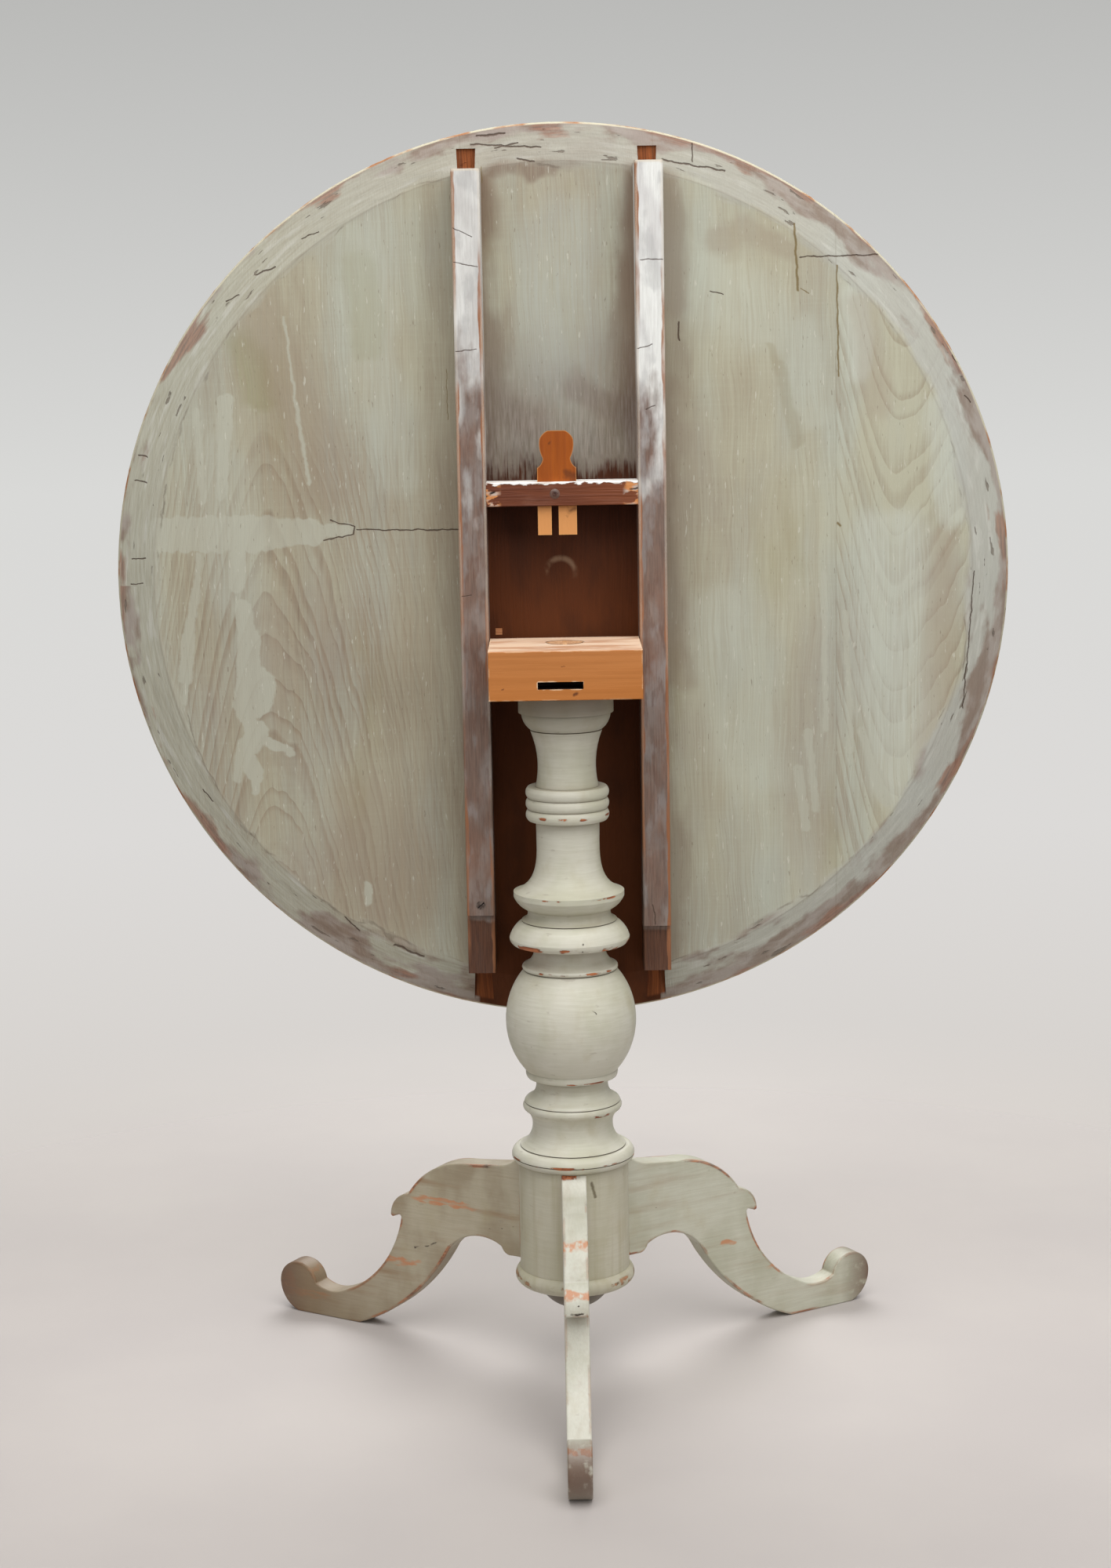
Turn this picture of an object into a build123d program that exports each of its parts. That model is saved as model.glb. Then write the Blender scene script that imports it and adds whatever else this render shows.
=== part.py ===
from build123d import *
from math import acos, cos, degrees, radians, sin, sqrt
import os

# Tilt top table of painted pine, standing with its round top tipped upright behind the turned pillar.
# Millimetres, +Z up, front leg towards -Y. The origin is on the floor at the middle of the footprint.

# The whole table
TABLE_HEIGHT = 766.5  # floor to the upper face when the top lies flat
TOP_DIAMETER = 900.0
TOP_THICKNESS = 24.0
LEG_REACH = 364.0  # pillar axis to the outermost point of a toe
LEG_SPACING = 120.0  # degrees

# Hinge line of the top
PIVOT_BEHIND_PILLAR = 46.5
PIVOT_TO_UNDERSIDE = 22.5
CENTRE_ABOVE_PIVOT = 79.0
PIVOT_DIAMETER = 14.0
PIVOT_ENGAGEMENT = 26.0  # how far each pin enters the block

# Clearances
FIT_GAP = 0.05  # each side of a glued or driven joint
RUNNING_GAP = 0.08  # round a turning pin
STOP_GAP = 0.3  # between the block and the boards that swing round it
SIDE_GAP = 0.7  # between the block's ends and the battens
SLIDE_GAP = 0.4  # round the sliding latch

# Boards of the top
EDGE_JOINT_X = 275.0  # joint of the narrow outer board
BATTEN_JOINT_OFFSET = 6.0  # joints hidden by the battens, outside the battens' screws
RIM_BEVEL_WIDTH = 38.0
RIM_BEVEL_DEPTH = 9.0
RIM_EASES = (2.2, 0.8)  # chamfers cut one after the other on the rim's edges, so that they look round
BOARD_DOWEL_DIAMETER = 8.0
BOARD_DOWEL_LENGTH = 60.0
BOARD_DOWEL_DEPTH = 16.0  # underside to the dowel's middle
BOARD_DOWEL_PITCH = 220.0
BOARD_DOWELS_EACH_WAY = 1  # dowels above and below the middle one

# Battens and the dovetail grooves that hold them
BATTEN_GAP = 150.0
BATTEN_WIDTH = 28.0
BATTEN_HEIGHT = 45.0
LEFT_END_INSET = 38.3  # rim to the batten's upper end
RIGHT_END_INSET = 33.0
BATTEN_FOOT_INSET = 45.1
LEFT_STEP_LENGTH = 60.7
RIGHT_STEP_LENGTH = 47.0
BATTEN_STEP_DEPTH = 5.0
BATTEN_ROUND = 2.0
GROOVE_WIDTH = 17.0
GROOVE_FLOOR_WIDTH = 20.0
GROOVE_DEPTH = 8.0
GROOVE_STOP = 16.0  # wood left between the groove's upper end and the rim

# Screw through the left batten, just above its step
SCREW_HEAD_DIAMETER = 9.5
SCREW_HEAD_DEPTH = 4.0
SCREW_SHANK_DIAMETER = 5.0
SCREW_BITE = 16.5  # length past the underside, through the tongue
SCREW_ABOVE_STEP = 10.5
SCREW_SLOT = 1.4
SCREW_TURN = 40.0  # degrees, of the slot

# Pivot block
BLOCK_FRONT_REACH = 122.0  # pivot to front face
BLOCK_HEIGHT = 48.0
BLOCK_EASE = 1.0
TENON_DIAMETER = 37.0
WEDGE_DEPTH = 30.0
WEDGE_HEAD = 4.0
WEDGE_TIP = 1.2

# Latch, its rail and the nail that rubs on it
LATCH_X = -5.0
LATCH_DEPTH = 33.8  # underside to the latch's middle
LATCH_THICKNESS = 6.0
LATCH_WIDTH = 38.6
LATCH_TIP_REACH = 126.0  # pivot to the prong tips
LATCH_LENGTH = 102.5
LATCH_LEFT_PRONG = 13.6
LATCH_FORK_GAP = 7.0
LATCH_FORK_LENGTH = 44.0
LATCH_HEAD_HEIGHT = 36.5
LATCH_NECK_WIDTH = 27.0
LATCH_LOBE_WIDTH = 33.0
LATCH_LOBE_HEIGHT = 27.0
LATCH_CROWN_WIDTH = 17.0
LATCH_CROWN_DROP = 8.0
LATCH_FORK_BOW = 2.3
LATCH_NECK_BOW = 1.4
LATCH_LOBE_BOW = 1.6
LATCH_CROWN_BOW = 1.0
LATCH_SLOT_WIDTH = 44.0
LATCH_SLOT_HEIGHT = 7.2
LATCH_SLOT_DEPTH = 31.0
RAIL_REACH = 155.0  # pivot to the rail's near face
RAIL_WIDTH = 23.5
RAIL_SETBACK = 2.0  # behind the battens' front faces
RAIL_TENON_LENGTH = 6.0
RAIL_TENON_WIDTH = 13.0
RAIL_TENON_HEIGHT = 28.0
NAIL_DIAMETER = 4.0
NAIL_HEAD_DIAMETER = 10.0
NAIL_HEAD_HEIGHT = 1.2
NAIL_HEAD_BOW = 0.5

# Square plug let into the underside
PLUG_SIZE = 6.6
PLUG_DEPTH = 12.0
PLUG_X = -66.0
PLUG_ABOVE_PIVOT = 27.0

# Pillar turning, from the drop up
DROP_CLEARANCE = 59.5
DROP_HEIGHT = 26.0
DROP_RADIUS = 37.6
DROP_BOW = 7.0
DROP_NECK = 2.0
BASE_BEAD_HEIGHT = 16.7
BASE_BEAD_FOOT_RADIUS = 54.0
BASE_BEAD_BOW = 5.9
HUB_RADIUS = 55.6
HUB_HEIGHT = 111.0
FOOT_COLLAR_RADIUS = 62.2
FOOT_COLLAR_RISE = 6.6
FOOT_COLLAR_FOOT_BOW = 1.6
FOOT_COLLAR_CROWN = 8.5
FOOT_COLLAR_SLOPE = 8.9
FOOT_COLLAR_BOW = 2.6
FOOT_COVE_HEIGHT = 23.7
FOOT_COVE_BOW = 4.1
FOOT_NECK_RADIUS = 40.7
KNOP_FLARE_HEIGHT = 13.3
KNOP_FLARE_BOW = 1.9
KNOP_RADIUS = 48.4
KNOP_EDGE = 7.5
KNOP_EDGE_BOW = 1.6
KNOP_CROWN_HEIGHT = 3.5
KNOP_CROWN_RADIUS = 45.0
KNOP_CROWN_BOW = 0.6
KNOP_COVE_HEIGHT = 12.5
KNOP_COVE_BOW = 2.2
KNOP_NECK_RADIUS = 36.3
KNOP_NECK_HEIGHT = 9.5
BALL_RING_RADIUS = 45.2
BALL_RING_HEIGHT = 7.0
BALL_RING_BOW = 0.9
BALL_RADIUS = 65.6
BALL_HALF_HEIGHT = 72.8  # of the whole ellipse that the ball is cut from
BALL_FOOT_RADIUS = 46.1
BALL_CROWN_RADIUS = 45.8
CROWN_RING_RADIUS = 47.2
CROWN_RING_HEIGHT = 4.4
CROWN_RING_BOW = 1.0
SCOTIA_HEIGHT = 21.8
SCOTIA_RADIUS = 37.2
SCOTIA_BOW = 5.3
TORUS_FOOT_RADIUS = 57.0
TORUS_FOOT_HEIGHT = 6.8
TORUS_FOOT_BOW = 1.0
TORUS_RADIUS = 60.2
TORUS_CROWN_HEIGHT = 16.3
TORUS_CROWN_RADIUS = 47.8
TORUS_CROWN_BOW = 1.9
DISH_NECK_HEIGHT = 11.0
DISH_NECK_RADIUS = 42.4
DISH_NECK_BOW = 3.2
DISH_HEIGHT = 12.8
DISH_BOW = 1.8
DISH_RADIUS = 55.4
DISH_EDGE = 5.4
DISH_COVE_HEIGHT = 12.5
DISH_COVE_RADIUS = 38.0
LOWER_WAIST_RADIUS = 31.4
RING_RADIUS = 39.2
RING_HEIGHT = 11.2
RING_BOW = 2.4
RINGS = 3
UPPER_WAIST_HEIGHT = 56.5
UPPER_WAIST_RADIUS = 28.9
UPPER_WAIST_RISE = 22.5  # rings to the narrowest place
CAPITAL_FOOT_RADIUS = 35.8
CAPITAL_HEIGHT = 18.0
CAPITAL_BOW = 2.2
CAPITAL_RADIUS = 44.5
COLLAR_HEIGHT = 20.5
COLLAR_RADIUS = 47.2
INCISED_LINE = 1.0  # width and depth of a scribed line

# Legs, sawn from board
LEG_THICKNESS = 22.5  # at the toe
LEG_ROOT_THICKNESS = 25.0
LEG_ROOT_RISE = 0.8  # above the base bead
LEG_TOP_DROP = 0.6  # below the foot collar
LEG_EDGE_ROUND = 1.6
LEG_CORNER_ROUND = 2.5  # where two saw cuts meet
LEG_TENON_THICKNESS = 14.0
LEG_TENON_LENGTH = 26.0
LEG_TENON_SHOULDER = 10.0
FLARE_LENGTH = 26.4  # upper edge curving up to the hub
FLARE_HEIGHT = 15.0
FLARE_BOW = 3.0
SHOULDER_LENGTH = 62.4  # hub to the end of the flat upper edge
SHOULDER_FALL = 19.0
SHOULDER_BOW = 11.7
HOOK_REACH = 217.0
HOOK_HEIGHT = 124.5
HOOK_LENGTH = 22.0
HOOK_DEPTH = 28.3
HOOK_BOW = 7.5
HOOK_THROAT = 13.5
HOOK_LIP = 5.5  # tip of the hook below its throat
HOLLOW_BOW = 17.8
INSTEP_LENGTH = 32.0
INSTEP_HEIGHT = 31.0
INSTEP_BOW = 3.5
SCROLL_WIDTH = 47.0
SCROLL_ROOT_HEIGHT = 35.0
SCROLL_HEIGHT = 31.0
SCROLL_BOW = 22.0
TOE_TUCK = 22.5
TOE_BOW = 6.0
SOLE_LENGTH = 79.5
HEEL_BOW = 13.7
ARCH_SIDE_LENGTH = 89.9
ARCH_SIDE_HEIGHT = 100.0
ARCH_BOW = 12.6
CUSP_LENGTH = 24.9
CUSP_RISE = 8.0
CUSP_FOOT = 12.4
CUSP_BOW = 3.0

# Places that follow from the sizes above, measured from the pillar's axis and the floor
TOP_RADIUS = TOP_DIAMETER / 2
PIVOT_Y = PIVOT_BEHIND_PILLAR
PIVOT_Z = TABLE_HEIGHT - TOP_THICKNESS - PIVOT_TO_UNDERSIDE
UNDERSIDE_Y = PIVOT_Y + PIVOT_TO_UNDERSIDE
TOP_CENTRE_Z = PIVOT_Z + CENTRE_ABOVE_PIVOT
BATTEN_X = (BATTEN_GAP + BATTEN_WIDTH) / 2
BATTEN_FRONT_Y = UNDERSIDE_Y - BATTEN_HEIGHT
BATTEN_RIM_RISE = sqrt(TOP_RADIUS**2 - BATTEN_X**2)  # from the middle of the top to the rim over a batten
BATTEN_FOOT_Z = TOP_CENTRE_Z - BATTEN_RIM_RISE + BATTEN_FOOT_INSET
SCREW_Z = BATTEN_FOOT_Z + LEFT_STEP_LENGTH + SCREW_ABOVE_STEP
BLOCK_WIDTH = BATTEN_GAP - 2 * SIDE_GAP
BLOCK_TOP_Z = PIVOT_Z + PIVOT_TO_UNDERSIDE - STOP_GAP
BLOCK_FOOT_Z = BLOCK_TOP_Z - BLOCK_HEIGHT
BLOCK_FRONT_Y = PIVOT_Y - BLOCK_FRONT_REACH
LATCH_Y = UNDERSIDE_Y - LATCH_DEPTH
LATCH_SLOT_Z = PIVOT_Z + PIVOT_TO_UNDERSIDE - LATCH_DEPTH
RAIL_Z = PIVOT_Z + RAIL_REACH + RAIL_WIDTH / 2
RAIL_FRONT_Y = BATTEN_FRONT_Y + RAIL_SETBACK
NAIL_X = LATCH_X - LATCH_WIDTH / 2 + LATCH_LEFT_PRONG + LATCH_FORK_GAP / 2
HUB_FOOT_Z = DROP_CLEARANCE + DROP_HEIGHT + DROP_NECK + BASE_BEAD_HEIGHT
HUB_TOP_Z = HUB_FOOT_Z + HUB_HEIGHT
LEG_ROOT_Z = HUB_FOOT_Z + LEG_ROOT_RISE
LEG_TOP_Z = HUB_TOP_Z - LEG_TOP_DROP
REAR_REACH = LEG_REACH * cos(radians(LEG_SPACING / 2)) + LEG_THICKNESS / 2 * sin(radians(LEG_SPACING / 2))
PILLAR_SHIFT = (LEG_REACH - REAR_REACH) / 2  # pillar axis behind the middle of the footprint


def chain(start, *stretches):
    """Lines and arcs joined end to end; each stretch is its end point and how far it bows to its right."""
    edges = []
    for end, bow in stretches:
        edges.append(SagittaArc(start, end, -bow) if bow else Line(start, end))
        start = end
    return edges


def block_between(low, high):
    """A box given by its lowest and highest corners."""
    size = [b - a for a, b in zip(low, high)]
    middle = [(a + b) / 2 for a, b in zip(low, high)]
    return Pos(*middle) * Box(*size)


def rod(radius, start, end, axis):
    """A cylinder along one axis, from start to end."""
    turn = {"X": Rot(0, 90, 0), "Y": Rot(-90, 0, 0), "Z": Rot(0, 0, 0)}[axis]
    return turn * Pos(0, 0, (start + end) / 2) * Cylinder(radius, end - start)


def incised(radius, z):
    """The two sides of a scribed V line that ends at this radius and height."""
    return [
        ((radius - INCISED_LINE, z - INCISED_LINE / 2), 0),
        ((radius, z), 0),
    ]


def pillar_outline():
    """Half section of the turning, as radius and height, from the drop's tip up to the end of the tenon."""
    z = DROP_CLEARANCE
    base = [((DROP_RADIUS, z + DROP_HEIGHT), DROP_BOW)]
    z += DROP_HEIGHT + DROP_NECK
    base += [((DROP_RADIUS, z), 0), ((BASE_BEAD_FOOT_RADIUS, z), 0)]
    base += [((HUB_RADIUS, HUB_FOOT_Z), BASE_BEAD_BOW), ((HUB_RADIUS, HUB_TOP_Z), 0)]
    z = HUB_TOP_Z + FOOT_COLLAR_RISE
    base += [((FOOT_COLLAR_RADIUS, z), FOOT_COLLAR_FOOT_BOW)]
    z += INCISED_LINE
    base += incised(FOOT_COLLAR_RADIUS, z)
    z += FOOT_COLLAR_CROWN
    slope_radius = FOOT_COLLAR_RADIUS - FOOT_COLLAR_SLOPE
    base += [((slope_radius, z), FOOT_COLLAR_BOW)]
    z += INCISED_LINE
    base += incised(slope_radius, z)
    z += FOOT_COVE_HEIGHT
    base += [((FOOT_NECK_RADIUS, z), -FOOT_COVE_BOW)]
    z += KNOP_FLARE_HEIGHT
    base += [((KNOP_RADIUS, z), -KNOP_FLARE_BOW)]
    z += KNOP_EDGE
    base += [((KNOP_RADIUS, z), KNOP_EDGE_BOW)]
    z += INCISED_LINE
    base += incised(KNOP_RADIUS, z)
    z += KNOP_CROWN_HEIGHT
    base += [((KNOP_CROWN_RADIUS, z), KNOP_CROWN_BOW)]
    z += KNOP_COVE_HEIGHT
    base += [((KNOP_NECK_RADIUS, z), -KNOP_COVE_BOW)]
    z += KNOP_NECK_HEIGHT
    base += [((KNOP_NECK_RADIUS, z), 0), ((BALL_RING_RADIUS, z), 0)]
    z += BALL_RING_HEIGHT
    base += [((BALL_FOOT_RADIUS, z), BALL_RING_BOW)]

    foot_angle = acos(BALL_FOOT_RADIUS / BALL_RADIUS)
    crown_angle = acos(BALL_CROWN_RADIUS / BALL_RADIUS)
    z += BALL_HALF_HEIGHT * sin(foot_angle)
    start = -degrees(foot_angle)
    arc = degrees(foot_angle + crown_angle)
    ball = EllipticalCenterArc((0, z), BALL_RADIUS, BALL_HALF_HEIGHT, start, arc_size=arc)
    z += BALL_HALF_HEIGHT * sin(crown_angle)
    ball_top = (BALL_CROWN_RADIUS, z)

    neck = [((CROWN_RING_RADIUS, z), 0)]
    z += CROWN_RING_HEIGHT
    neck += [((CROWN_RING_RADIUS, z), CROWN_RING_BOW)]
    z += SCOTIA_HEIGHT
    neck += [((SCOTIA_RADIUS, z), -SCOTIA_BOW), ((TORUS_FOOT_RADIUS, z), 0)]
    z += TORUS_FOOT_HEIGHT
    neck += [((TORUS_RADIUS, z), TORUS_FOOT_BOW)]
    z += TORUS_CROWN_HEIGHT
    neck += [((TORUS_CROWN_RADIUS, z), TORUS_CROWN_BOW)]
    z += INCISED_LINE
    neck += incised(TORUS_CROWN_RADIUS, z)
    z += DISH_NECK_HEIGHT
    neck += [((DISH_NECK_RADIUS, z), -DISH_NECK_BOW)]
    z += DISH_HEIGHT
    neck += [((DISH_RADIUS, z), DISH_BOW)]
    z += DISH_EDGE
    neck += [((DISH_RADIUS, z), 0)]
    waist_foot = (DISH_RADIUS, z)

    # The lower waist takes up whatever height the other turnings leave under the block.
    collar_z = BLOCK_FOOT_Z - COLLAR_HEIGHT
    capital_z = collar_z - CAPITAL_HEIGHT
    rings_top_z = capital_z - UPPER_WAIST_HEIGHT
    rings_z = rings_top_z - RINGS * RING_HEIGHT
    cove_top = (DISH_COVE_RADIUS, z + DISH_COVE_HEIGHT)
    waist_middle = (LOWER_WAIST_RADIUS, (cove_top[1] + rings_z) / 2)
    waist_top = (LOWER_WAIST_RADIUS, rings_z)
    lower_waist = Spline(waist_foot, cove_top, waist_middle, waist_top)

    rings = [((RING_RADIUS, rings_z), 0)]
    for ring in range(1, RINGS + 1):
        rings += [((RING_RADIUS, rings_z + ring * RING_HEIGHT), RING_BOW)]
    rings += [((LOWER_WAIST_RADIUS, rings_top_z), 0)]
    upper_waist = Spline(
        (LOWER_WAIST_RADIUS, rings_top_z),
        (UPPER_WAIST_RADIUS, rings_top_z + UPPER_WAIST_RISE),
        (CAPITAL_FOOT_RADIUS, capital_z),
    )

    tenon = TENON_DIAMETER / 2
    head = incised(CAPITAL_FOOT_RADIUS, capital_z + INCISED_LINE)
    head += [((CAPITAL_RADIUS, collar_z), CAPITAL_BOW), ((COLLAR_RADIUS, collar_z), 0)]
    head += [((COLLAR_RADIUS, BLOCK_FOOT_Z), 0), ((tenon, BLOCK_FOOT_Z), 0)]
    head += [((tenon, BLOCK_TOP_Z), 0), ((0, BLOCK_TOP_Z), 0), ((0, DROP_CLEARANCE), 0)]

    return [
        *chain((0, DROP_CLEARANCE), *base),
        ball,
        *chain(ball_top, *neck),
        lower_waist,
        *chain(waist_top, *rings),
        upper_waist,
        *chain((CAPITAL_FOOT_RADIUS, capital_z), *head),
    ]


def leg_tenon(gap=0.0):
    """Tenon on the inner end of a leg that points along +X; with a gap it is the mortise for it."""
    side = LEG_TENON_THICKNESS / 2 + gap
    foot = LEG_ROOT_Z + LEG_TENON_SHOULDER - gap
    head = LEG_TOP_Z - LEG_TENON_SHOULDER + gap
    inner = HUB_RADIUS - LEG_TENON_LENGTH - gap
    return block_between((inner, -side, foot), (HUB_RADIUS + LEG_TENON_SHOULDER / 2, side, head))


def leg_angles():
    """Node name and direction of each leg, as degrees from +X."""
    front = -90
    return {
        "leg_front": front,
        "leg_rear_right": front + LEG_SPACING,
        "leg_rear_left": front - LEG_SPACING,
    }


def make_pillar():
    pillar = revolve(Plane.XZ * make_face(pillar_outline()), Axis.Z)
    for angle in leg_angles().values():
        pillar -= Rot(0, 0, angle) * leg_tenon(FIT_GAP)
    return pillar - make_wedge(FIT_GAP)


def make_wedge(gap=0.0):
    """Wedge driven into the end of the tenon, across the block's grain; with a gap it is the cut for it."""
    radius = TENON_DIAMETER / 2
    head = WEDGE_HEAD / 2 + gap
    tip = WEDGE_TIP / 2 + gap
    foot = BLOCK_TOP_Z - WEDGE_DEPTH - gap
    outline = Polyline((-head, BLOCK_TOP_Z), (head, BLOCK_TOP_Z), (tip, foot), (-tip, foot), close=True)
    wedge = extrude(Plane.XZ * make_face(outline), radius, both=True)
    return wedge & rod(radius, foot, BLOCK_TOP_Z, "Z")


def make_leg():
    """One leg along +X: outline sawn from board, rounded edges, end coped to the hub, tenon on the end."""
    inner = HUB_RADIUS / 2
    toe = LEG_REACH - TOE_TUCK
    throat = (HOOK_REACH - HOOK_THROAT, HOOK_HEIGHT + HOOK_LIP)
    scroll_root = (LEG_REACH - SCROLL_WIDTH, SCROLL_ROOT_HEIGHT)
    outline = chain(
        (inner, LEG_ROOT_Z),
        ((HUB_RADIUS + CUSP_FOOT, LEG_ROOT_Z), 0),
        ((HUB_RADIUS + CUSP_LENGTH, LEG_ROOT_Z + CUSP_RISE), CUSP_BOW),
        ((HUB_RADIUS + ARCH_SIDE_LENGTH, ARCH_SIDE_HEIGHT), -ARCH_BOW),
        ((toe - SOLE_LENGTH, 0), HEEL_BOW),
        ((toe, 0), 0),
        ((LEG_REACH, SCROLL_HEIGHT), TOE_BOW),
        (scroll_root, SCROLL_BOW),
        ((scroll_root[0] - INSTEP_LENGTH, INSTEP_HEIGHT), -INSTEP_BOW),
        (throat, -HOLLOW_BOW),
        ((HOOK_REACH, HOOK_HEIGHT), 0),
        ((HOOK_REACH - HOOK_LENGTH, HOOK_HEIGHT + HOOK_DEPTH), HOOK_BOW),
        ((HUB_RADIUS + SHOULDER_LENGTH, LEG_TOP_Z - SHOULDER_FALL), SHOULDER_BOW),
        ((HUB_RADIUS + FLARE_LENGTH, LEG_TOP_Z - FLARE_HEIGHT), 0),
        ((HUB_RADIUS, LEG_TOP_Z), -FLARE_BOW),
        ((inner, LEG_TOP_Z), 0),
        ((inner, LEG_ROOT_Z), 0),
    )
    face = make_face(outline)
    face = fillet(face.vertices().filter_by(lambda corner: corner.X > HUB_RADIUS), LEG_CORNER_ROUND)
    root_side = LEG_ROOT_THICKNESS / 2
    toe_side = LEG_THICKNESS / 2
    plan = Polyline(
        (inner, -root_side),
        (LEG_REACH, -toe_side),
        (LEG_REACH, toe_side),
        (inner, root_side),
        close=True,
    )
    leg = extrude(Plane.XZ * face, LEG_ROOT_THICKNESS, both=True) & extrude(make_face(plan), TABLE_HEIGHT)
    faces = leg.faces().sort_by(Axis.Y)
    leg = fillet(faces[0].edges() + faces[-1].edges(), LEG_EDGE_ROUND)
    leg -= rod(HUB_RADIUS + FIT_GAP, 0, TABLE_HEIGHT, "Z")
    return leg + leg_tenon()


def groove(x, gap=0.0):
    """Dovetail groove for the batten at x, open at the lower rim; a gap below zero gives its tongue."""
    mouth = GROOVE_WIDTH / 2 + gap
    floor = GROOVE_FLOOR_WIDTH / 2 + gap
    depth = GROOVE_DEPTH + gap
    face = make_face(Polyline((-mouth, 0), (mouth, 0), (floor, depth), (-floor, depth), close=True))
    length = TOP_RADIUS + BATTEN_RIM_RISE - GROOVE_STOP
    return Pos(x, UNDERSIDE_Y, TOP_CENTRE_Z - TOP_RADIUS) * extrude(face, length)


def board_joints():
    """Places of the joints between the boards, along X."""
    hidden = BATTEN_X + BATTEN_JOINT_OFFSET
    return [-hidden, hidden, EDGE_JOINT_X]


def board_dowels(gap=0.0):
    """Dowels across every joint between boards; with a gap they are the holes for them."""
    dowels = []
    for joint in board_joints():
        for step in range(-BOARD_DOWELS_EACH_WAY, BOARD_DOWELS_EACH_WAY + 1):
            half = BOARD_DOWEL_LENGTH / 2 + gap
            dowel = rod(BOARD_DOWEL_DIAMETER / 2 + gap, joint - half, joint + half, "X")
            z = TOP_CENTRE_Z + step * BOARD_DOWEL_PITCH
            dowels.append(Pos(0, UNDERSIDE_Y + BOARD_DOWEL_DEPTH, z) * dowel)
    return dowels


def screw(gap=0.0):
    """Countersunk screw through the left batten into the boards; with a gap it is the hole for it."""
    head = SCREW_HEAD_DIAMETER / 2 + gap
    shank = SCREW_SHANK_DIAMETER / 2 + gap
    length = BATTEN_HEIGHT + SCREW_BITE + gap
    half = Polyline((0, 0), (head, 0), (shank, SCREW_HEAD_DEPTH), (shank, length), (0, length), close=True)
    return Pos(-BATTEN_X, BATTEN_FRONT_Y, SCREW_Z) * revolve(make_face(half), Axis.Y)


def make_screw():
    slot = Rot(0, -SCREW_TURN, 0) * Box(2 * SCREW_HEAD_DIAMETER, SCREW_SLOT * 2, SCREW_SLOT)
    return screw() - Pos(-BATTEN_X, BATTEN_FRONT_Y, SCREW_Z) * slot


def plug(gap=0.0):
    """Square plug flush with the underside; with a gap it is the hole for it."""
    half = PLUG_SIZE / 2 + gap
    z = PIVOT_Z + PLUG_ABOVE_PIVOT
    low = (PLUG_X - half, UNDERSIDE_Y, z - half)
    high = (PLUG_X + half, UNDERSIDE_Y + PLUG_DEPTH + gap, z + half)
    return block_between(low, high)


def make_boards():
    """Round top with a bevelled rim, sawn into boards and cut for battens, dowels, screw and plug."""
    upper = UNDERSIDE_Y + TOP_THICKNESS
    half = make_face(
        Polyline(
            (0, UNDERSIDE_Y),
            (TOP_RADIUS - RIM_BEVEL_WIDTH, UNDERSIDE_Y),
            (TOP_RADIUS, UNDERSIDE_Y + RIM_BEVEL_DEPTH),
            (TOP_RADIUS, upper),
            (0, upper),
            close=True,
        )
    )
    for ease in RIM_EASES:
        half = chamfer(half.vertices().group_by(Axis.X)[-1], ease)
    top = Pos(0, 0, TOP_CENTRE_Z) * revolve(half, Axis.Y)
    for x in (-BATTEN_X, BATTEN_X):
        top -= groove(x)
    top = top - screw(FIT_GAP) - plug(FIT_GAP)
    for hole in board_dowels(FIT_GAP):
        top -= hole
    names = ["board_left", "board_middle", "board_right", "board_outer_right"]
    cuts = [-TOP_DIAMETER, *board_joints(), TOP_DIAMETER]
    boards = {}
    for name, left, right in zip(names, cuts, cuts[1:]):
        low = (left, UNDERSIDE_Y - TOP_THICKNESS, TOP_CENTRE_Z - TOP_DIAMETER)
        high = (right, upper + TOP_THICKNESS, TOP_CENTRE_Z + TOP_DIAMETER)
        boards[name] = top & block_between(low, high)
    return boards


def rail_tenons(gap=0.0):
    """Stub tenons on both ends of the latch rail; with a gap they are the mortises in the battens."""
    length = BATTEN_GAP + 2 * (RAIL_TENON_LENGTH + gap)
    middle = (RAIL_FRONT_Y + UNDERSIDE_Y) / 2
    return Pos(0, middle, RAIL_Z) * Box(length, RAIL_TENON_HEIGHT + 2 * gap, RAIL_TENON_WIDTH + 2 * gap)


def make_batten(x, end_inset, step_length):
    """Batten with rounded front edges, a step at its lower end, a dovetail tongue and the pivot hole."""
    upper_end = TOP_CENTRE_Z + BATTEN_RIM_RISE - end_inset
    low = (x - BATTEN_WIDTH / 2, BATTEN_FRONT_Y, BATTEN_FOOT_Z)
    bar = block_between(low, (x + BATTEN_WIDTH / 2, UNDERSIDE_Y, upper_end))
    step = Box(2 * BATTEN_WIDTH, 2 * BATTEN_STEP_DEPTH, 2 * step_length)
    bar -= Pos(x, BATTEN_FRONT_Y, BATTEN_FOOT_Z) * step
    front_edges = bar.edges().filter_by(Axis.Z).group_by(Axis.Y)[:2]
    bar = fillet(front_edges[0] + front_edges[1], BATTEN_ROUND)
    tongue_low = (x - BATTEN_WIDTH, UNDERSIDE_Y, BATTEN_FOOT_Z)
    tongue_high = (x + BATTEN_WIDTH, UNDERSIDE_Y + GROOVE_DEPTH, upper_end)
    bar += groove(x, -FIT_GAP) & block_between(tongue_low, tongue_high)
    pivot = rod(PIVOT_DIAMETER / 2 + FIT_GAP, x - BATTEN_WIDTH, x + BATTEN_WIDTH, "X")
    return bar - Pos(0, PIVOT_Y, PIVOT_Z) * pivot - rail_tenons(FIT_GAP) - screw(FIT_GAP)


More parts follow.
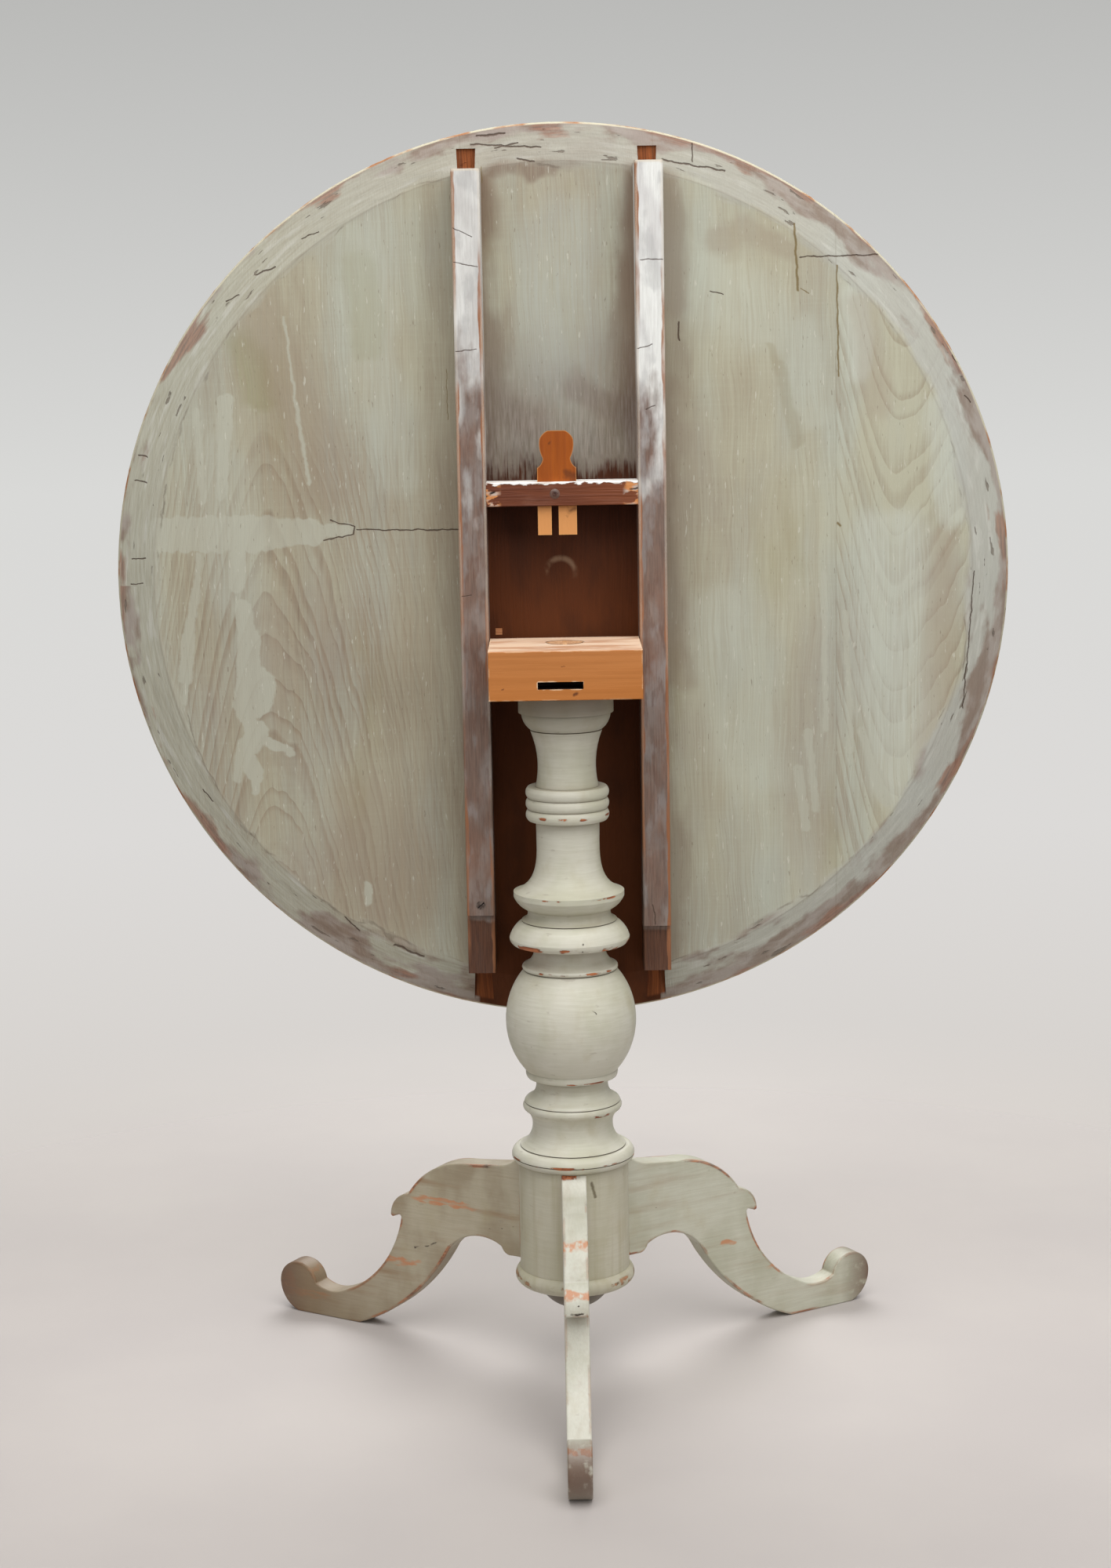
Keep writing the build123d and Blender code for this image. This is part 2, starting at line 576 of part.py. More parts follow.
def make_pivot_pin(side):
    """Wooden pin through one batten into the end of the block; side is -1 for left and 1 for right."""
    inner = BLOCK_WIDTH / 2 - PIVOT_ENGAGEMENT
    outer = BATTEN_X + BATTEN_WIDTH / 2
    start, end = sorted((side * inner, side * outer))
    return Pos(0, PIVOT_Y, PIVOT_Z) * rod(PIVOT_DIAMETER / 2, start, end, "X")


def make_pivot_block():
    """Block on the pillar's tenon: upper back edge rounded about the pivot, latch slot in the front."""
    back = PIVOT_Y + PIVOT_TO_UNDERSIDE - STOP_GAP
    low = (-BLOCK_WIDTH / 2, BLOCK_FRONT_Y, BLOCK_FOOT_Z)
    block = block_between(low, (BLOCK_WIDTH / 2, back, BLOCK_TOP_Z))
    back_edge = block.edges().filter_by(Axis.X).sort_by(Axis.Y)[-2:].sort_by(Axis.Z)[-1]
    block = fillet(back_edge, PIVOT_TO_UNDERSIDE - STOP_GAP)
    front_face = block.faces().sort_by(Axis.Y)[0]
    block = fillet(front_face.edges(), BLOCK_EASE)
    block -= rod(TENON_DIAMETER / 2 + FIT_GAP, BLOCK_FOOT_Z, BLOCK_TOP_Z, "Z")
    for side in (-1, 1):
        inner = BLOCK_WIDTH / 2 - PIVOT_ENGAGEMENT - STOP_GAP
        start, end = sorted((side * inner, side * BLOCK_WIDTH))
        block -= Pos(0, PIVOT_Y, PIVOT_Z) * rod(PIVOT_DIAMETER / 2 + RUNNING_GAP, start, end, "X")
    slot = Box(LATCH_SLOT_WIDTH, 2 * LATCH_SLOT_DEPTH, LATCH_SLOT_HEIGHT)
    return block - Pos(LATCH_X, BLOCK_FRONT_Y, LATCH_SLOT_Z) * slot


def nail(gap=0.0):
    """Nail through the rail's front, its end against the latch; with a gap it is the hole for it."""
    shank = NAIL_DIAMETER / 2 + gap
    end = LATCH_Y - LATCH_THICKNESS / 2 - SLIDE_GAP + gap
    return Pos(NAIL_X, 0, RAIL_Z) * rod(shank, RAIL_FRONT_Y, end, "Y")


def make_nail():
    """The nail with its low head on the rail's front face."""
    radius = NAIL_HEAD_DIAMETER / 2
    crown = (0, -NAIL_HEAD_HEIGHT)
    outline = chain(crown, ((radius, 0), NAIL_HEAD_BOW), ((0, 0), 0), (crown, 0))
    dome = revolve(make_face(outline), Axis.Y)
    return nail() + Pos(NAIL_X, RAIL_FRONT_Y, RAIL_Z) * dome


def make_latch_rail():
    """Rail between the battens, tenoned at both ends, with the slot that the latch slides in."""
    low = (-BATTEN_GAP / 2, RAIL_FRONT_Y, RAIL_Z - RAIL_WIDTH / 2)
    rail = block_between(low, (BATTEN_GAP / 2, UNDERSIDE_Y, RAIL_Z + RAIL_WIDTH / 2))
    rail = fillet(rail.faces().sort_by(Axis.Y)[0].edges().filter_by(Axis.X), BLOCK_EASE)
    slide = Box(LATCH_WIDTH + 2 * SLIDE_GAP, LATCH_THICKNESS + 2 * SLIDE_GAP, 2 * RAIL_WIDTH)
    return rail + rail_tenons() - Pos(LATCH_X, LATCH_Y, RAIL_Z) * slide - nail(FIT_GAP)


def make_latch():
    """Forked latch: two prongs for the block's slot, and a lobed head to push with the thumb."""
    tip = PIVOT_Z + LATCH_TIP_REACH
    top = tip + LATCH_LENGTH
    neck = top - LATCH_LOBE_HEIGHT
    half = LATCH_WIDTH / 2
    fork_left = -half + LATCH_LEFT_PRONG
    fork_right = fork_left + LATCH_FORK_GAP
    fork_end = tip + LATCH_FORK_LENGTH
    crown = LATCH_CROWN_WIDTH / 2
    lobe = LATCH_LOBE_WIDTH / 2
    outline = chain(
        (-half, tip),
        ((fork_left, tip), 0),
        ((fork_left, fork_end), 0),
        ((fork_right, fork_end), -LATCH_FORK_BOW),
        ((fork_right, tip), 0),
        ((half, tip), 0),
        ((half, top - LATCH_HEAD_HEIGHT), 0),
        ((LATCH_NECK_WIDTH / 2, neck), -LATCH_NECK_BOW),
        ((lobe, top - LATCH_CROWN_DROP), LATCH_LOBE_BOW),
        ((crown, top), LATCH_CROWN_BOW),
        ((-crown, top), 0),
        ((-lobe, top - LATCH_CROWN_DROP), LATCH_CROWN_BOW),
        ((-LATCH_NECK_WIDTH / 2, neck), LATCH_LOBE_BOW),
        ((-half, top - LATCH_HEAD_HEIGHT), -LATCH_NECK_BOW),
        ((-half, tip), 0),
    )
    plate = extrude(Plane.XZ * make_face(outline), LATCH_THICKNESS / 2, both=True)
    return Pos(LATCH_X, LATCH_Y, 0) * plate


nodes = {
    "pillar": make_pillar(),
    "tenon_wedge": make_wedge(),
    "pivot_block": make_pivot_block(),
    "latch_rail": make_latch_rail(),
    "latch_nail": make_nail(),
    "batten_screw": make_screw(),
    "latch": make_latch(),
    "underside_plug": plug(),
    "board_dowels": Compound(children=board_dowels()),
}
nodes |= {name: Rot(0, 0, angle) * make_leg() for name, angle in leg_angles().items()}
nodes |= make_boards()
sides = (("left", -1, LEFT_END_INSET, LEFT_STEP_LENGTH), ("right", 1, RIGHT_END_INSET, RIGHT_STEP_LENGTH))
for name, side, end_inset, step_length in sides:
    nodes["batten_" + name] = make_batten(side * BATTEN_X, end_inset, step_length)
    nodes["pivot_pin_" + name] = make_pivot_pin(side)

os.makedirs("parts", exist_ok=True)
for name, shape in nodes.items():
    export_step(Pos(0, PILLAR_SHIFT, 0) * shape, f"parts/{name}.step")
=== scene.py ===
import math

import bpy
from mathutils import Matrix, Vector


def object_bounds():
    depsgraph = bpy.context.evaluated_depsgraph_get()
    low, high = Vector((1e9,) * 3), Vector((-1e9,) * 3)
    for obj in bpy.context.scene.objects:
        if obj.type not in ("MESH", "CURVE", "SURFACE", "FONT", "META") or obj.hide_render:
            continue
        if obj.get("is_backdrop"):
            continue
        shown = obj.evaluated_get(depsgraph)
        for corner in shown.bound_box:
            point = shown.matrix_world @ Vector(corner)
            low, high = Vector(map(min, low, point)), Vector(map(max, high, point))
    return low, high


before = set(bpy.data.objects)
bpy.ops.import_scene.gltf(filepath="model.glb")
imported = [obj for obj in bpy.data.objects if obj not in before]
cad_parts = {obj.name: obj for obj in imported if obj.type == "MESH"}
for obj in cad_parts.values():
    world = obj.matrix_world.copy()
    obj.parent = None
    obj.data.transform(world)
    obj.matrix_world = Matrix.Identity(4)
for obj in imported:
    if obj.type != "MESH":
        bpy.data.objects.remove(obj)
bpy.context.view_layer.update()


# Pillar: one softwood turning, brushed all over with a thin grey-green oil paint that is drawn darker and
# yellower in the hollows and worn through to orange wood on the proud rings. It is wedged into the block and
# holds the legs.
PILLAR_Y = 0.08613
HUB_TOP, DROP_TOP, BLOCK_FOOT = 0.2152, 0.0875, 0.6942
TENON_RADIUS, TENON_SINK = 0.0185, 0.003
RUBBED_RINGS = ((0.0965, 0.0070), (0.2228, 0.0022), (0.2705, 0.0030), (0.3045, 0.0016), (0.4165, 0.0022),
                (0.4425, 0.0045), (0.4925, 0.0016), (0.5710, 0.0030))


def srgb(code):
    """Linear colour of an sRGB hex code."""
    parts = [int(code[i:i + 2], 16) / 255 for i in (1, 3, 5)]
    return (*[c / 12.92 if c <= 0.04045 else ((c + 0.055) / 1.055) ** 2.4 for c in parts], 1.0)


def add(tree, kind, sockets=None, out=0, stops=(), **settings):
    """Add a node, set it, give its sockets a value or a link, and return the output asked for."""
    made = tree.nodes.new("ShaderNode" + kind)
    for name, value in settings.items():
        setattr(made, name, value)
    for _ in stops[2:]:
        made.color_ramp.elements.new(1.0)
    for element, (place, colour) in zip(made.color_ramp.elements if stops else (), stops):
        element.position = place
        element.color = srgb(colour)
    for key, value in (sockets or {}).items():
        if isinstance(value, bpy.types.NodeSocket):
            tree.links.new(value, made.inputs[key])
        else:
            made.inputs[key].default_value = value
    return made.outputs[out] if made.outputs else None


def lay(tree, under, share, over, depth=1.0):
    """Lay a colour over another where share is high, as deep as given. Colours are hex codes or links."""
    if depth != 1.0:
        share = add(tree, "Math", {0: share, 1: depth}, operation="MULTIPLY")
    under, over = (srgb(colour) if isinstance(colour, str) else colour for colour in (under, over))
    return add(tree, "Mix", {0: share, 6: under, 7: over}, out=2, data_type="RGBA")


def start_finish(name):
    """New empty material, its tree, and the piece's own coordinates in metres."""
    material = bpy.data.materials.new(name)
    material.use_nodes = True
    material.node_tree.nodes.clear()
    return material, material.node_tree, add(material.node_tree, "TexCoord", out="Object")


def close_finish(tree, colour, rough, height, relief, gloss=0.5):
    """Shader of a dry surface with a relief of the given depth in metres; gloss is the level of its sheen."""
    normal = add(tree, "Bump", {"Height": height, "Distance": relief, "Strength": 1.0})
    shader = add(tree, "BsdfPrincipled", {"Base Color": colour, "Roughness": rough, "Normal": normal,
                                          "Specular IOR Level": gloss})
    add(tree, "OutputMaterial", {"Surface": shader})


def apart(tree, value, middle):
    """How far a value lies from a middle one."""
    return add(tree, "Math", {0: add(tree, "Math", {0: value, 1: middle}, operation="SUBTRACT")},
               operation="ABSOLUTE")


def blotches(tree, place, size, low, high, stretch=(1, 1, 1), shift=0.0, detail=4.0):
    """Patches about size millimetres across: 0 under the low noise level, 1 over the high one.
    Wood fibres and brush hairs are finer than the picture shows, so they are drawn about 2 mm wide."""
    stretched = add(tree, "Mapping", {"Vector": place, "Location": (shift, shift, shift), "Scale": stretch})
    noise = add(tree, "TexNoise", {"Vector": stretched, "Scale": 1000 / size, "Detail": detail})
    return add(tree, "MapRange", {0: noise, 1: low, 2: high}, interpolation_type="SMOOTHSTEP")


def strokes(tree, place, marks, shake=(0.006, 0.006, 0.006), soft=1.5, fineness=90.0):
    """Cracks, scratches and brush marks: each has a start, an end and a half width, in millimetres."""
    noise = add(tree, "TexNoise", {"Vector": place, "Scale": fineness, "Detail": 3.0}, out="Color")
    centred = add(tree, "VectorMath", {0: noise, 1: (0.5, 0.5, 0.5)}, operation="SUBTRACT")
    shaken = add(tree, "VectorMath", {0: centred, 1: shake, 2: place}, operation="MULTIPLY_ADD")
    total = None
    for start, end, width in marks:
        first = [c / 1000 for c in start]
        run = [(b - a) / 1000 for a, b in zip(start, end)]
        length = math.sqrt(sum(c * c for c in run))
        unit = [c / length for c in run]
        offset = add(tree, "VectorMath", {0: shaken, 1: first}, operation="SUBTRACT")
        along = add(tree, "VectorMath", {0: offset, 1: unit}, out="Value", operation="DOT_PRODUCT")
        held = add(tree, "Clamp", {0: along, 1: 0.0, 2: length})
        nearest = add(tree, "VectorMath", {0: unit, 3: held}, operation="SCALE")
        gap = add(tree, "VectorMath", {0: offset, 1: nearest}, out="Value", operation="DISTANCE")
        mark = add(tree, "MapRange", {0: gap, 1: width / 1000, 2: (width - min(width * 0.67, soft)) / 1000})
        total = mark if total is None else add(tree, "Math", {0: total, 1: mark}, operation="MAXIMUM")
    return total


def hollows(tree, reach):
    """1 deep in the crevices of the piece itself, 0 in the open."""
    open_share = add(tree, "AmbientOcclusion", {"Distance": reach}, out="AO", only_local=True, samples=8)
    return add(tree, "MapRange", {0: open_share, 1: 0.95, 2: 0.35})


def arrises(tree, reach):
    """1 on the outer edges of the piece itself, 0 on its flats."""
    inner = add(tree, "AmbientOcclusion", {"Distance": reach}, out="AO", inside=True, only_local=True,
                samples=8)
    return add(tree, "MapRange", {0: inner, 1: 0.97, 2: 0.5})


def dress(material, *names):
    """Give solids of the frame a finish."""
    for name in names:
        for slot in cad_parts[name].material_slots:
            slot.material = material


def tenon_distance(tree, place):
    """Distance from a line just behind the pillar's axis, which the tenon's dark outline is drawn around.
    Off centre, the outline shows the gap round the tenon and a painted shadow of its sunk end.
    """
    moved = add(tree, "Mapping", {"Vector": place, "Location": (0, -PILLAR_Y - TENON_SINK, 0),
                                  "Scale": (1, 1, 0)})
    return add(tree, "VectorMath", {0: moved}, out="Value", operation="LENGTH")


def aged_paint(tree, place, brush, cream, green, rubbed, cracks):
    """Thin aged oil paint on softwood, brushed, darker in hollows and worn through where rubbed is high.
    Gives colour, roughness and height."""
    wood_lines = blotches(tree, place, 2.2, 0.3, 0.7, brush)
    wood = lay(tree, "#bb7247", wood_lines, "#7d4026")
    soot = blotches(tree, place, 9, 0.54, 0.72, (1, 1, 1), 5.0, 5.0)
    wood = lay(tree, wood, soot, "#46291d")
    thick = blotches(tree, place, 45, 0.36, 0.66, (1, 1, 0.6), 3.1)
    paint = lay(tree, cream, thick, green)
    hairs = blotches(tree, place, 2.4, 0.25, 0.8, brush, 1.7, 5.0)
    brushed = lay(tree, (0.94, 0.93, 0.91, 1), hairs, (1.02, 1.02, 1.02, 1))
    paint = add(tree, "Mix", {0: 1.0, 6: paint, 7: brushed}, out=2, data_type="RGBA", blend_type="MULTIPLY")
    paint = lay(tree, paint, blotches(tree, place, 24, 0.5, 0.78, (1, 1, 0.7), 9.0), "#ab9f7b", 0.34)
    scuffs = blotches(tree, place, 6, 0.66, 0.72, (0.35, 0.35, 1), 13.0, 6.0)
    paint = lay(tree, paint, scuffs, "#8f8272", 0.3)
    paint = lay(tree, paint, hollows(tree, 0.014), "#8a7d62", 0.7)
    line = add(tree, "MapRange", {0: hollows(tree, 0.0025), 1: 0.25, 2: 0.8, 4: 0.85})
    paint = lay(tree, paint, line, "#453a2d")
    through = add(tree, "MapRange", {0: rubbed, 1: 0.5, 2: 0.58})
    halo = add(tree, "MapRange", {0: rubbed, 1: 0.3, 2: 0.5, 4: 0.35})
    colour = lay(tree, paint, halo, "#86705c")
    colour = lay(tree, colour, through, wood)
    height = add(tree, "Math", {0: hairs, 1: 0.22, 2: 0.7}, operation="MULTIPLY_ADD")
    height = add(tree, "Math", {0: through, 1: -0.5, 2: height}, operation="MULTIPLY_ADD")
    colour = lay(tree, colour, cracks, "#3a2e22")
    height = add(tree, "Math", {0: height, 1: cracks}, operation="SUBTRACT")
    rough = add(tree, "MapRange", {0: through, 3: 0.48, 4: 0.75})
    return colour, rough, height


# Dull pale grey-green, drawn darker and yellower in the hollows, with orange rings where the paint has gone.
pillar_paint, tree, place = start_finish("aged_oil_paint_on_turned_pine")
height_z = add(tree, "SeparateXYZ", {0: place}, out="Z")
pillar_marks = (
    ((13, 28, 442), (14, 28, 464), 1.0), ((13, 33, 478), (14, 31, 492), 1.0),
    ((14, 36, 466), (14, 38, 476), 0.6), ((26, 26, 378), (20, 28, 384), 0.7),
    ((27, 27, 366), (29, 28, 372), 0.8), ((24, 27, 340), (30, 29, 338), 0.7),
    ((-40, 36, 345), (-32, 30, 338), 0.9), ((-36, 35, 330), (-41, 40, 322), 0.7),
    ((18, 33, 205), (21, 34, 190), 2.0), ((-3, 40, 688), (-2, 40, 681), 1.0),
    ((-42, 48, 489), (-42, 47, 482), 0.9)
)
marks = strokes(tree, place, pillar_marks)
rings = None
for ring_z, half in RUBBED_RINGS:
    ring = add(tree, "MapRange", {0: apart(tree, height_z, ring_z), 1: half, 2: half * 0.3})
    rings = ring if rings is None else add(tree, "Math", {0: rings, 1: ring}, operation="MAXIMUM")
rubbing = blotches(tree, place, 22, 0.42, 0.66, (1, 1, 1.6), 7.0, 8.0)
rings = add(tree, "Math", {0: rings, 1: rubbing}, operation="MULTIPLY")
colour, rough, relief = aged_paint(tree, place, (0.08, 0.08, 1), "#cdcabb", "#c1bfab", rings, marks)
on_hub = add(tree, "MapRange", {0: height_z, 1: HUB_TOP + 0.001, 2: HUB_TOP})
streaks = blotches(tree, place, 9, 0.42, 0.78, (1, 1, 0.06), 2.0, 5.0)
streaks = add(tree, "Math", {0: streaks, 1: 0.35, 2: 0.35}, operation="MULTIPLY_ADD")
streaks = add(tree, "Math", {0: streaks, 1: on_hub}, operation="MULTIPLY")
colour = lay(tree, colour, streaks, "#a39a7c")
# Painted shade: the drop below the hub is darkened as if in the shade of the hub and legs.
shade_on_drop = add(tree, "MapRange", {0: height_z, 1: DROP_TOP, 2: DROP_TOP - 0.002, 4: 0.85})
colour = lay(tree, colour, shade_on_drop, "#52463b")
# Painted shade: the pillar is darkened just below the block, where the block shades it.
shade_under_block = add(tree, "MapRange", {0: height_z, 1: BLOCK_FOOT - 0.050, 2: BLOCK_FOOT - 0.015, 4: 0.75})
colour = lay(tree, colour, shade_under_block, "#746c59")
in_block = add(tree, "MapRange", {0: height_z, 1: BLOCK_FOOT, 2: BLOCK_FOOT + 0.002})
end_grain = blotches(tree, place, 2.5, 0.3, 0.7, (1, 0.3, 1), 1.0)
end_grain = lay(tree, "#dfb188", end_grain, "#c08c62")
from_axis = tenon_distance(tree, place)
# Dark ring on the tenon end: the gap round it, widened at the front into a painted shadow of the sunk end.
gap_and_sunk_shadow = add(tree, "MapRange", {0: from_axis, 1: TENON_RADIUS - 0.0012, 2: TENON_RADIUS - 0.0003})
end_grain = lay(tree, end_grain, gap_and_sunk_shadow, "#5d331a")
colour = lay(tree, colour, in_block, end_grain)
close_finish(tree, colour, rough, relief, 0.0005)
dress(pillar_paint, "pillar")


# Legs: three sawn scroll-toed boards let into the hub by tenons, painted like the pillar. Their grain runs
# outwards, so brown and orange streaks show along the faces, and the edges, hooks and toes are rubbed bare.
LEG_TURNS = {"leg_front": -90.0, "leg_rear_left": 150.0, "leg_rear_right": 30.0}
LEG_REACH, SHIN_START, TOE_START = 0.364, 0.190, 0.326
LEG_DARKER_TO_TOE = {"leg_front": 0.0, "leg_rear_left": 0.8, "leg_rear_right": 0.0}
LEG_STREAKS = {"leg_front": 0.2, "leg_rear_left": 0.8, "leg_rear_right": 0.32}
LEG_EDGE_WEAR = {"leg_front": 1.0, "leg_rear_left": 1.7, "leg_rear_right": 1.5}
# One paint, drawn lighter on the front leg and darker on the rear-left: painted light and shade.
LEG_PAINTS_LIT_AND_SHADED = {"leg_front": ("#cccabd", "#bfbeaf"), "leg_rear_left": ("#b4ab95", "#9c8f77"),
              "leg_rear_right": ("#c3c2b1", "#b5b4a0")}
LEG_MARKS = {
    "leg_front": (((205, 2, 135), (218, 2, 136), 1.0), ((217, -6, 129), (217, 6, 130), 1.2),
                  ((217, -5, 126), (217, 4, 125), 1.0)),
    "leg_rear_left": (((187, 11, 95), (160, 11, 104), 1.3), ((160, 11, 104), (128, 11, 108), 0.9),
                      ((100, 11, 128), (64, 11, 136), 0.8)),
    "leg_rear_right": (((90, -11, 150), (120, -11, 149), 0.5),),
}
LEG_RUBBED = {
    "leg_front": ((166, 176, 8, 7), (211, 146, 6, 5), (352, 50, 6, 4)),
    "leg_rear_left": ((110, 214, 62, 6), (160, 202, 24, 8), (228, 140, 8, 14), (330, 22, 30, 5),
                      (352, 30, 8, 16), (215, 78, 34, 5),
                      (150, 150, 40, 4), (300, 48, 30, 4), (262, 92, 34, 7), (300, 66, 30, 8)),
    "leg_rear_right": ((224, 134, 6, 10), (180, 95, 10, 3), (262, 60, 30, 5), (120, 213, 40, 3)),
}


def ellipses(tree, place, patches, ragged):
    """Irregular patches: each is a middle x and z and two half sizes, in millimetres."""
    noise = add(tree, "TexNoise", {"Vector": place, "Scale": 60.0, "Detail": 4.0}, out="Color")
    centred = add(tree, "VectorMath", {0: noise, 1: (0.5, 0.5, 0.5)}, operation="SUBTRACT")
    shaken = add(tree, "VectorMath", {0: centred, 1: ragged, 2: place}, operation="MULTIPLY_ADD")
    total = None
    for x, z, half_x, half_z in patches:
        scale = (1000 / half_x, 0.0, 1000 / half_z)
        local = add(tree, "Mapping", {"Vector": shaken, "Scale": scale,
                                      "Location": (-x / half_x, 0, -z / half_z)})
        reach = add(tree, "VectorMath", {0: local}, out="Value", operation="LENGTH")
        patch = add(tree, "MapRange", {0: reach, 1: 1.1, 2: 0.8})
        total = patch if total is None else add(tree, "Math", {0: total, 1: patch}, operation="MAXIMUM")
    return total


for name, turn in LEG_TURNS.items():
    # The same dull paint, streaked with brown along the grain and speckled orange where feet and hands rub.
    # Its colour is drawn lighter on the front leg and darker on the rear-left one, as painted light and
    # shade, and the rear-left leg also turns darker from the shin to the toe.
    leg_paint, tree, place = start_finish("aged_oil_paint_on_sawn_pine_" + name)
    centred = add(tree, "Mapping", {"Vector": place, "Location": (0, -PILLAR_Y, 0)})
    along = add(tree, "Mapping", {"Vector": centred, "Rotation": (0, 0, math.radians(-turn))})
    marks = strokes(tree, along, LEG_MARKS[name])
    rubbing = blotches(tree, along, 20, 0.34, 0.66, (0.4, 1, 0.6), 7.0, 7.0)
    edge = add(tree, "Math", {0: arrises(tree, 0.005), 1: rubbing}, operation="MULTIPLY")
    edge = add(tree, "Math", {0: edge, 1: LEG_EDGE_WEAR[name]}, operation="MULTIPLY")
    colour, rough, relief = aged_paint(tree, along, (0.08, 1, 1), *LEG_PAINTS_LIT_AND_SHADED[name], edge, marks)
    streaks = blotches(tree, along, 14, 0.5, 0.76, (0.12, 1, 1), 4.0, 6.0)
    colour = lay(tree, colour, streaks, "#8c6a46", LEG_STREAKS[name])
    bare = ellipses(tree, along, LEG_RUBBED[name], (0.014, 0.0, 0.014))
    speckled = blotches(tree, along, 4, 0.32, 0.56, (0.22, 1, 1), 11.0, 6.0)
    bare = add(tree, "Math", {0: bare, 1: speckled}, operation="MULTIPLY")
    colour = lay(tree, colour, bare, "#c07f54", 0.85)
    outward = add(tree, "SeparateXYZ", {0: along}, out="X")
    darker_to_toe = add(tree, "MapRange", {0: outward, 1: SHIN_START, 2: TOE_START, 4: LEG_DARKER_TO_TOE[name]})
    colour = lay(tree, colour, darker_to_toe, "#806a4f")
    toe = add(tree, "MapRange", {0: outward, 1: TOE_START, 2: LEG_REACH})
    grubby = add(tree, "Math", {0: toe, 1: blotches(tree, along, 9, 0.2, 0.48, (1, 1, 1), 3.0, 5.0)},
                 operation="MULTIPLY")
    colour = lay(tree, colour, grubby, "#664b3c", 0.9)
    close_finish(tree, colour, rough, relief, 0.0005)
    dress(leg_paint, name)


# Pivot block: a thick piece of bare, aged pine that the top swings on. The pillar's tenon comes up through it
# and is spread by a wedge, and the latch drops into the slot in its front.
BLOCK_TOP = 0.7422


def bare_pine(tree, place, stretch, pale, deep, line_size):
    """Aged bare pine with growth lines along one direction. Gives colour and height."""
    lines = blotches(tree, place, line_size, 0.3, 0.72, stretch, 0.4, 5.0)
    wood = lay(tree, pale, lines, deep)
    fine = blotches(tree, place, 1.4, 0.35, 0.8, stretch, 2.4, 2.0)
    wood = lay(tree, wood, fine, deep, 0.35)
    handled = blotches(tree, place, 38, 0.45, 0.75, (1, 1, 1), 6.0)
    wood = lay(tree, wood, handled, deep, 0.3)
    return wood, lines


# Warm honey brown in front; paler on top, partly bleached and scratched wood and partly a painted highlight
# from the light above; nearly black in the slot, which is painted shade.
block_pine, tree, place = start_finish("bare_aged_pine_block")
wood, relief = bare_pine(tree, place, (0.04, 1, 1), "#bf7c44", "#b3713a", 7)
z = add(tree, "SeparateXYZ", {0: place}, out="Z")
warmer = add(tree, "MapRange", {0: z, 1: BLOCK_TOP, 2: BLOCK_FOOT, 4: 0.6})
wood = lay(tree, wood, warmer, "#b56d2c")
up = add(tree, "SeparateXYZ", {0: add(tree, "TexCoord", out="Normal")}, out="Z")
# Upward faces drawn much paler: partly bleached wood, partly a painted highlight where the light falls.
on_top = add(tree, "MapRange", {0: up, 1: 0.7, 2: 0.95, 4: 0.85})
bleached_and_lit_top = lay(tree, "#ecd0b4", blotches(tree, place, 26, 0.42, 0.62, (0.3, 1, 1), 8.0, 5.0), "#c79a7b")
scratched = blotches(tree, place, 4, 0.58, 0.68, (0.12, 1, 1), 4.0, 4.0)
bleached_and_lit_top = lay(tree, bleached_and_lit_top, scratched, "#f2e6d6")
wood = lay(tree, wood, on_top, bleached_and_lit_top)
from_axis = tenon_distance(tree, place)
# Dark ring on the block round the tenon: the gap, widened at the back into a painted shadow of the sunk end.
gap_and_sunk_shadow = add(tree, "MapRange", {0: from_axis, 1: TENON_RADIUS + 0.0014, 2: TENON_RADIUS + 0.0005})
wood = lay(tree, wood, gap_and_sunk_shadow, "#5d331a")
rubbing = blotches(tree, place, 14, 0.35, 0.6, (1, 1, 1), 1.0, 6.0)
edge = add(tree, "Math", {0: arrises(tree, 0.002), 1: rubbing}, operation="MULTIPLY")
wood = lay(tree, wood, add(tree, "MapRange", {0: edge, 1: 0.3, 2: 0.6, 4: 0.9}), "#efd0ab")
knots = strokes(tree, place, (((8, 10.6, 700), (10, 10.6, 701), 2.6),
                              ((-62, 10.6, 706), (-60, 10.6, 706.5), 1.0),
                              ((-4, 10.6, 727), (-1, 10.6, 727.5), 0.9)))
wood = lay(tree, wood, knots, "#6a3a1c")
# Painted shade: the slot and the block's other deep hollows are darkened nearly to black.
deep = add(tree, "MapRange", {0: hollows(tree, 0.02), 1: 0.3, 2: 0.9})
wood = lay(tree, wood, deep, "#2a1409")
close_finish(tree, wood, 0.6, relief, 0.0002, 0.3)
dress(block_pine, "pivot_block")

# Pale speckled ends of the fibres, lighter than the block around them.
wedge_pine, tree, place = start_finish("bare_pine_end_grain")
wood, relief = bare_pine(tree, place, (1, 0.1, 1), "#e0b285", "#c38d5e", 3)
close_finish(tree, wood, 0.65, relief, 0.0003)
dress(wedge_pine, "tenon_wedge", "board_dowels")


